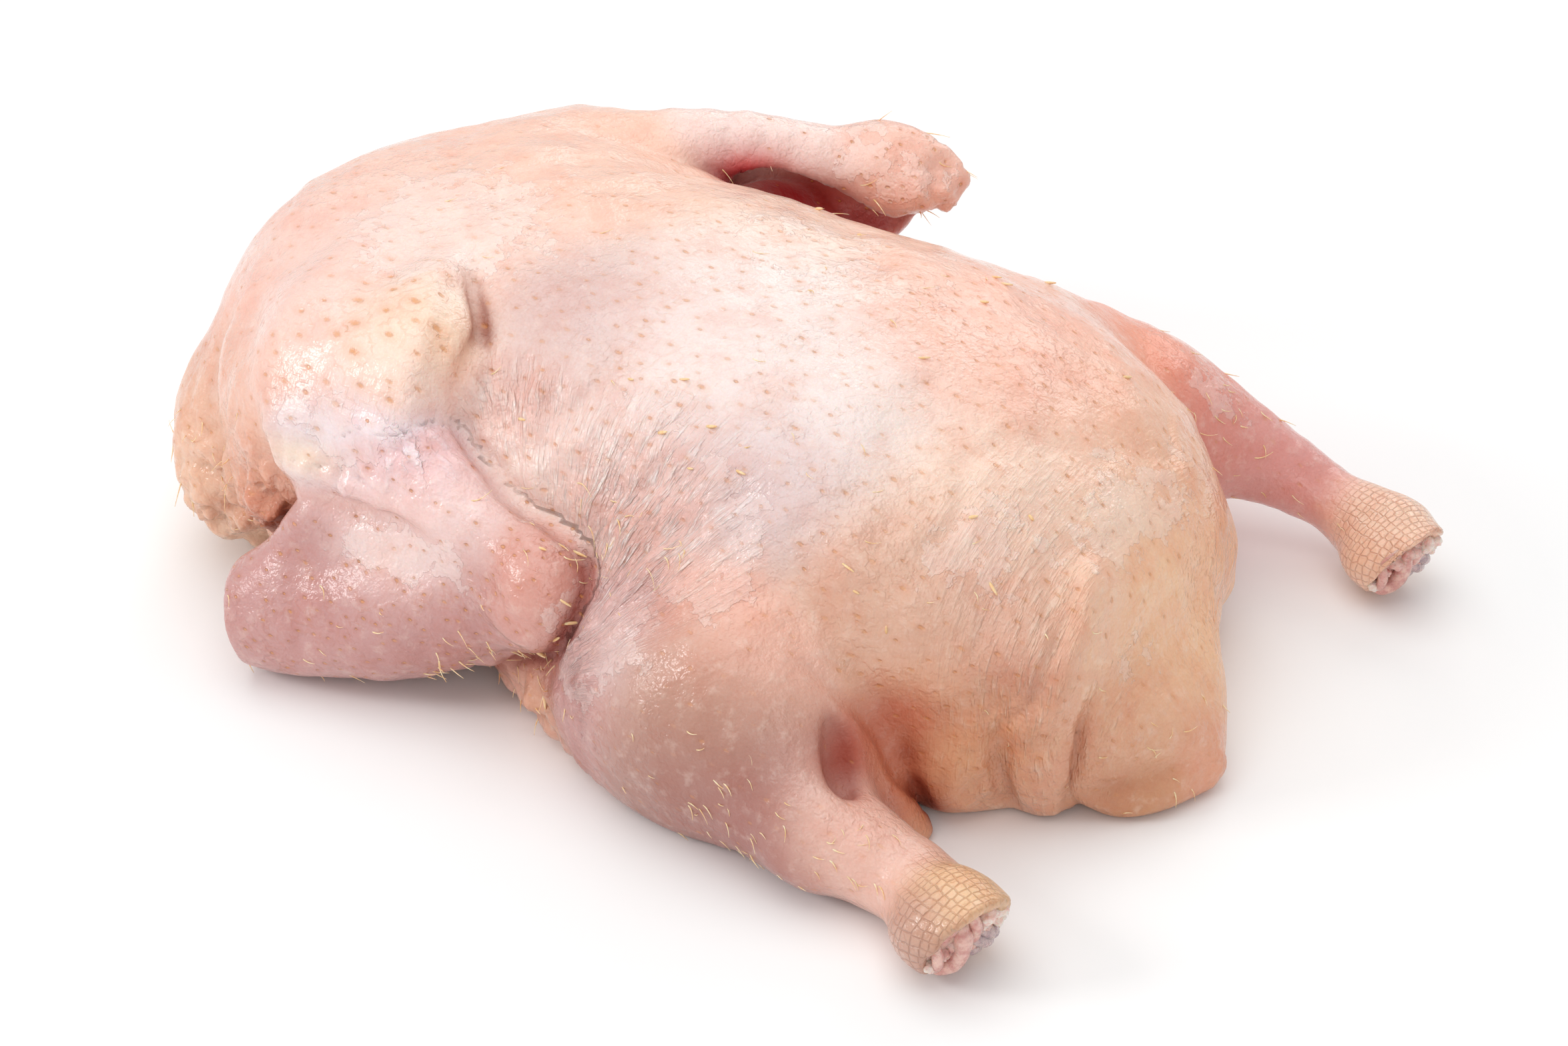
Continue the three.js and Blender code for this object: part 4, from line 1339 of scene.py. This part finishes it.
# Rolls of tissue in the hocks: the places they pass (across, up, and mm out) and how thick they are
PINK_ROLLS = (
    (((0.12, 0.6, -1.5), (-0.02, 0.4, 0.8), (-0.2, 0.1, 1.8), (-0.42, -0.15, 2.0), (-0.66, -0.25, 0.9),
      (-0.8, -0.2, -1)), 2.4),
    (((-0.5, 0.6, -1.5), (-0.62, 0.4, 0.4), (-0.74, 0.1, 0.8), (-0.82, -0.1, -0.8)), 1.5),
    (((0.4, 0.7, -1.5), (0.3, 0.4, 0.6), (0.16, 0.1, 0.8), (0.02, -0.2, -0.6)), 1.7),
)
PURPLE_ROLLS = (
    (((0.05, -0.1, -1.5), (0.18, -0.35, 1.2), (0.28, -0.6, 1.5), (0.3, -0.8, -0.6)), 2.0),
    (((0.3, 0.0, -1.5), (0.4, -0.3, 1.0), (0.48, -0.55, 1.2), (0.5, -0.74, -0.6)), 1.8),
    (((-0.15, -0.3, -1.5), (-0.08, -0.5, 0.9), (0.05, -0.72, 0.8), (0.12, -0.85, -0.8)), 1.6),
)


def rolls(table):
    """Short soft tubes of tissue on both hock cuts."""
    shapes = []
    for middle, way, radius in HOCK_CUTS.values():
        middle, way = np.array(middle, float), unit(way)
        for places, thick in table:
            points = curve_through(on_cut(middle, way, radius, places), 4)
            t = np.linspace(0, 1, len(points))
            swell = 1 + 0.16 * noise(points.astype(np.float32), 2.2, 61) - 0.25 * np.abs(2 * t - 1) ** 3
            shapes.append(tube(points, thick * swell * radius / 12.8, 14))
    return shapes


def build_flesh(settings):
    rng = np.random.default_rng(3)
    shapes = []
    for middle, way, radius, rim, depth in cuts():
        inner = radius - rim + 1.2
        shapes.append(lump(middle - (depth + 0.9) * way, (inner, inner, 2.4), way, 40, 0.1, 20, 32))
        for _ in range(12):
            angle, far = rng.uniform(0, 2 * math.pi), rng.uniform(0.35, 0.8)
            spot, = on_cut(middle, way, inner, [(far * math.cos(angle), far * math.sin(angle), 0.6 - depth)])
            size = inner * rng.uniform(0.13, 0.24)
            shapes.append(lump(spot, (size, 0.8 * size, size), way, 41 + len(shapes), 0.35))
    shapes += rolls(PINK_ROLLS)
    flesh = meat_material("raw flesh", settings.flesh_colour, settings.flesh_deep_colour, 0.34)
    dressed(made("cut_flesh", *together(shapes), flesh))


# The white ends of the joint: shares of the cut's radius across it, up it and in size
JOINT_ENDS = ((0.62, 0.3, 0.24), (0.82, -0.02, 0.2), (0.4, 0.1, 0.2), (0.7, -0.3, 0.22), (-0.84, 0.1, 0.17),
              (0.1, 0.2, 0.13))


def build_cartilage(settings):
    shapes = []
    for middle, way, radius, _, depth in cuts():
        for i, (a, b, big) in enumerate(JOINT_ENDS):
            spot, = on_cut(middle, way, radius, [(a, b, 0.9 - 0.7 * depth)])
            shapes.append(lump(spot, np.array((1.0, 0.75, 0.7)) * big * radius, way, 51 + i, 0.3, 18, 24))
    cartilage = meat_material("cartilage", settings.cartilage_colour, settings.flesh_colour, 0.3)
    dressed(made("cut_cartilage", *together(shapes), cartilage))


def build_tendons(settings):
    tendons = meat_material("tendon", settings.tendon_colour, settings.tendon_dark_colour, 0.28)
    dressed(made("cut_tendons", *together(rolls(PURPLE_ROLLS)), tendons))


# Where hairs grow: middle and reach in mm, how many, how long in mm, how much they stand up
HAIR_PATCHES = (
    ((66, -111, 20), (20, 9, 13), 40, 3.2, 0.35),
    ((98, -109, 20), (16, 7, 9), 14, 3.0, 0.3),
    ((8, -78, 60), (16, 12, 18), 34, 5.0, 0.3),
    ((-20, -90, 20), (24, 9, 12), 46, 4.2, 0.8),
    ((-120, -62, 30), (22, 26, 22), 34, 4.6, 0.8),
    ((105, -50, 60), (25, 30, 25), 9, 3.0, 0.4),
    ((140, -25, 20), (14, 16, 12), 14, 3.0, 0.6),
    ((0, 100, 70), (14, 14, 16), 22, 5.0, 0.7),
    ((110, 86, 42), (26, 12, 14), 26, 3.4, 0.5),
    ((-30, 70, 84), (26, 10, 12), 12, 7.0, 0.3),
    ((20, -20, 98), (70, 45, 14), 22, 3.0, 0.3),
    ((-70, -100, 18), (24, 10, 12), 16, 3.4, 0.5),
    ((0, 80, 30), (80, 30, 24), 30, 4.0, 0.5),
)


def skin_points():
    """Every point of the skin in bird millimetres, and the way that it faces."""
    mesh = bpy.data.objects["duck_skin"].data
    places, normals = np.empty(3 * len(mesh.vertices)), np.empty(3 * len(mesh.vertices))
    mesh.vertices.foreach_get("co", places)
    mesh.vertices.foreach_get("normal", normals)
    return in_bird(places.reshape(-1, 3)), normals.reshape(-1, 3)


def rooted(rng, p, normal, middle, reach, count):
    """Roots picked at random inside a patch of skin, with the way out and the way that feathers lie."""
    chance = patch(p, middle, reach) * (p[:, 2] > 3)
    for i in rng.choice(len(p), count, p=chance / chance.sum()):
        lie = np.array((1.0, 0.0, -0.3)) + rng.normal(0, 0.35, 3)
        lie -= (lie @ normal[i]) * normal[i]
        yield p[i], normal[i], unit(lie)


def build_hairs(settings):
    rng = np.random.default_rng(17)
    p, normal = skin_points()
    shapes = []
    for middle, reach, count, length, lift in HAIR_PATCHES:
        for root, out, lie in rooted(rng, p, normal, middle, reach, count):
            way = unit(lie + lift * rng.uniform(0.3, 1.4) * out)
            side = np.cross(way, out) * rng.choice((-1, 1))
            bend = rng.uniform(0.6, 2.4)
            long = length * rng.uniform(0.55, 1.35)
            t = np.linspace(0, 1, 7)
            points = [root - 0.18 * out + long * (u * way + bend * 0.35 * u * u * side) for u in t]
            thick = 1000 * settings.hair_thickness * rng.uniform(0.7, 1.3)
            shapes.append(tube(points, thick * (1 - 0.75 * t), 5))
    hair = quill_material("hair", settings.hair_colour, settings.hair_tip_colour)
    dressed(made("hairs", *together(shapes), hair))


def build_quills(settings):
    rng = np.random.default_rng(29)
    p, normal = skin_points()
    shapes = []
    for middle, reach, count in (((100, -45, 62), (26, 30, 20), 5), ((20, -60, 80), (40, 16, 14), 8),
                                 ((-4, -86, 40), (14, 8, 14), 8), ((60, 10, 95), (50, 40, 12), 8)):
        for root, out, lie in rooted(rng, p, normal, middle, reach, count):
            way = unit(lie + 0.35 * out)
            long = 1000 * settings.quill_length * rng.uniform(0.6, 1.4)
            points = [root - 0.5 * way + long * t * way for t in (0, 0.35, 0.7, 1.0)]
            shapes.append(tube(points, 0.42 * np.array((0.8, 1.0, 0.85, 0.45)) * rng.uniform(0.7, 1.2), 8))
    quill = quill_material("quill", settings.quill_colour, settings.hair_colour)
    dressed(made("quill_stubs", *together(shapes), quill))


def look_at(eye, target):
    back = (eye - target).normalized()
    right = Vector((0, 0, 1)).cross(back).normalized()
    up = back.cross(right)
    turn = Matrix((right, up, back)).transposed().to_4x4()
    return Matrix.Translation(eye) @ turn


def build_studio(settings):
    scene = bpy.context.scene
    middle = Vector(placed(BIRD_MIDDLE))
    half = settings.floor_size / 2
    mesh = bpy.data.meshes.new("studio_floor")
    corners = [(-half, -half, 0), (half, -half, 0), (half, half, 0), (-half, half, 0)]
    mesh.from_pydata(corners, [], [(0, 1, 2, 3)])
    mesh.materials.append(floor_material(settings))
    floor = bpy.data.objects.new("studio_floor", mesh)
    floor.location = (middle.x, middle.y, BOX_LOW[2] - 0.0002)
    scene.collection.objects.link(floor)

    world = bpy.data.worlds.new("studio")
    world.use_nodes = True
    world.node_tree.nodes["Background"].inputs["Color"].default_value = (1, 1, 1, 1)
    world.node_tree.nodes["Background"].inputs["Strength"].default_value = settings.fill
    scene.world = world

    lamps = (
        ("overhead", (-0.12, -0.08, 0.95), (1.2, 0.9), settings.overhead),
        ("back", (-0.1, 0.9, 0.6), (0.9, 0.5), settings.back),
        ("left", (-0.7, -0.75, 0.62), (0.36, 0.3), settings.side),
        ("front", (0.75, -0.85, 0.75), (0.6, 0.5), settings.front),
    )
    for name, place, size, power in lamps:
        light = bpy.data.lights.new(name, "AREA")
        light.shape = "RECTANGLE"
        light.size, light.size_y = size
        light.energy = power
        lamp = bpy.data.objects.new(name, light)
        lamp.matrix_world = look_at(middle + Vector(place), middle)
        scene.collection.objects.link(lamp)

    a, e = settings.camera_azimuth, settings.camera_elevation
    back = Vector((math.sin(a) * math.cos(e), -math.cos(a) * math.cos(e), math.sin(e)))
    target = Vector(placed(CAMERA_TARGET))
    lens = bpy.data.cameras.new("camera")
    lens.lens, lens.sensor_width = settings.lens, 36
    camera = bpy.data.objects.new("camera", lens)
    camera.matrix_world = look_at(target + settings.camera_distance * back, target)
    scene.collection.objects.link(camera)
    scene.camera = camera
    scene.view_settings.view_transform = "Standard"


# ---- Add-on ----------------------------------------------------------------------------------


def colour_property(name, description, default):
    return bpy.props.FloatVectorProperty(name=name, description=description, default=default, size=3,
                                         min=0, max=1, subtype="COLOR")


def length_property(name, description, default):
    return bpy.props.FloatProperty(name=name, description=description, default=default, min=0,
                                   subtype="DISTANCE", unit="LENGTH", precision=4)


def factor_property(name, description, default, highest=1):
    return bpy.props.FloatProperty(name=name, description=description, default=default, min=0, max=highest,
                                   subtype="FACTOR")


def power_property(name, description, default):
    return bpy.props.FloatProperty(name=name, description=description, default=default, min=0, unit="POWER")


def angle_property(name, description, degrees):
    return bpy.props.FloatProperty(name=name, description=description, default=math.radians(degrees),
                                   subtype="ANGLE", unit="ROTATION")


class SkinSettings(bpy.types.PropertyGroup):
    mesh_size: length_property("Mesh size", "Size of the quads that the skin is made of", 0.00148)
    pore_pitch: length_property("Follicle pitch", "Distance from one feather follicle to the next", 0.0088)
    pore_colour: colour_property("Follicle colour", "Colour at the bottom of a follicle", (0.72, 0.3, 0.09))
    relief: factor_property("Relief", "How strongly folds and pleats stand out", 1.6, highest=3)
    glow_depth: length_property("Glow depth", "How far light travels under the skin", 0.0016)
    wetness: factor_property("Wetness", "Strength of the wet film's gloss", 0.85)


class CutSettings(bpy.types.PropertyGroup):
    flesh_colour: colour_property("Flesh colour", "Colour of the raw flesh in the cuts", (0.86, 0.56, 0.48))
    flesh_deep_colour: colour_property("Deep flesh colour", "Colour of the deeper flesh", (0.68, 0.32, 0.28))
    cartilage_colour: colour_property("Cartilage colour", "Colour of the white joint ends", (0.9, 0.82, 0.74))
    tendon_colour: colour_property("Tendon colour", "Colour of the cut tendons", (0.66, 0.5, 0.48))
    tendon_dark_colour: colour_property("Dark tendon colour", "The tendons' dark parts", (0.36, 0.24, 0.27))


class QuillSettings(bpy.types.PropertyGroup):
    hair_colour: colour_property("Hair colour", "Colour of the hairs at the root", (0.88, 0.54, 0.24))
    hair_tip_colour: colour_property("Pale hair colour", "Colour of the palest hairs", (1.0, 0.8, 0.54))
    hair_thickness: length_property("Hair thickness", "Radius of a hair at its root", 0.00021)
    quill_colour: colour_property("Quill colour", "Colour of the broken quills", (0.92, 0.7, 0.42))
    quill_length: length_property("Quill length", "Length of a broken quill", 0.0028)


class StudioSettings(bpy.types.PropertyGroup):
    floor_size: length_property("Floor size", "Side of the square floor", 8.0)
    floor_colour: colour_property("Floor colour", "Colour of the paper under the duck", (0.96, 0.96, 0.96))
    fill: factor_property("Fill", "Strength of the light from all round", 0.55)
    overhead: power_property("Overhead lamp", "Power of the big soft lamp overhead", 4.4)
    back: power_property("Back lamp", "Power of the soft lamp behind", 2.5)
    side: power_property("Left lamp", "Power of the soft lamp on the left", 3.4)
    front: power_property("Front lamp", "Power of the soft lamp in front, to the right", 1.6)
    camera_azimuth: angle_property("Camera azimuth", "Angle of the camera round the duck", 32)
    camera_elevation: angle_property("Camera elevation", "Angle of the camera over the floor", 34)
    camera_distance: length_property("Camera distance", "From the camera to what it looks at", 1.2144)
    lens: bpy.props.FloatProperty(name="Lens", description="Focal length", default=100.0, min=1,
                                  unit="CAMERA")


class DUCK_OT_skin(bpy.types.Operator):
    """Make the duck's skin"""

    bl_idname = "duck.skin"
    bl_label = "Skin"
    bl_options = {"REGISTER", "UNDO"}

    def execute(self, context):
        build_skin(context.scene.duck_skin)
        return {"FINISHED"}


class DUCK_OT_flesh(bpy.types.Operator):
    """Make the raw flesh in the cut hocks and wrists"""

    bl_idname = "duck.flesh"
    bl_label = "Flesh in the Cuts"
    bl_options = {"REGISTER", "UNDO"}

    def execute(self, context):
        build_flesh(context.scene.duck_cuts)
        return {"FINISHED"}


class DUCK_OT_cartilage(bpy.types.Operator):
    """Make the white joint ends in the cuts"""

    bl_idname = "duck.cartilage"
    bl_label = "Cartilage"
    bl_options = {"REGISTER", "UNDO"}

    def execute(self, context):
        build_cartilage(context.scene.duck_cuts)
        return {"FINISHED"}


class DUCK_OT_tendons(bpy.types.Operator):
    """Make the cut tendons in the hocks"""

    bl_idname = "duck.tendons"
    bl_label = "Tendons"
    bl_options = {"REGISTER", "UNDO"}

    def execute(self, context):
        build_tendons(context.scene.duck_cuts)
        return {"FINISHED"}


class DUCK_OT_hairs(bpy.types.Operator):
    """Make the hairs left on the skin, once there is skin"""

    bl_idname = "duck.hairs"
    bl_label = "Hairs"
    bl_options = {"REGISTER", "UNDO"}

    def execute(self, context):
        build_hairs(context.scene.duck_quills)
        return {"FINISHED"}


class DUCK_OT_quills(bpy.types.Operator):
    """Make the broken quills left in the skin, once there is skin"""

    bl_idname = "duck.quills"
    bl_label = "Broken Quills"
    bl_options = {"REGISTER", "UNDO"}

    def execute(self, context):
        build_quills(context.scene.duck_quills)
        return {"FINISHED"}


class DUCK_OT_studio(bpy.types.Operator):
    """Make the floor, the lamps and the camera"""

    bl_idname = "duck.studio"
    bl_label = "Studio"
    bl_options = {"REGISTER", "UNDO"}

    def execute(self, context):
        build_studio(context.scene.duck_studio)
        return {"FINISHED"}


OPERATORS = (DUCK_OT_skin, DUCK_OT_flesh, DUCK_OT_cartilage, DUCK_OT_tendons, DUCK_OT_hairs, DUCK_OT_quills,
             DUCK_OT_studio)


class DUCK_PT_panel(bpy.types.Panel):
    """Lists what the duck is made of"""

    bl_idname = "DUCK_PT_panel"
    bl_label = "Whole Duck"
    bl_space_type = "VIEW_3D"
    bl_region_type = "UI"
    bl_category = "Duck"

    def draw(self, context):
        for operator in OPERATORS:
            self.layout.operator(operator.bl_idname)
        for group in SETTINGS.values():
            settings = getattr(context.scene, group)
            box = self.layout.box()
            for name in settings.__annotations__:
                box.prop(settings, name)


SETTINGS = {SkinSettings: "duck_skin", CutSettings: "duck_cuts", QuillSettings: "duck_quills",
            StudioSettings: "duck_studio"}
CLASSES = (*SETTINGS, *OPERATORS, DUCK_PT_panel)


def register():
    for cls in CLASSES:
        bpy.utils.register_class(cls)
    for group, name in SETTINGS.items():
        setattr(bpy.types.Scene, name, bpy.props.PointerProperty(type=group))


def unregister():
    for name in SETTINGS.values():
        delattr(bpy.types.Scene, name)
    for cls in reversed(CLASSES):
        bpy.utils.unregister_class(cls)


def main():
    register()
    bpy.ops.duck.skin()
    bpy.ops.duck.flesh()
    bpy.ops.duck.cartilage()
    bpy.ops.duck.tendons()
    bpy.ops.duck.hairs()
    bpy.ops.duck.quills()
    bpy.ops.duck.studio()


if __name__ == "__main__":
    main()
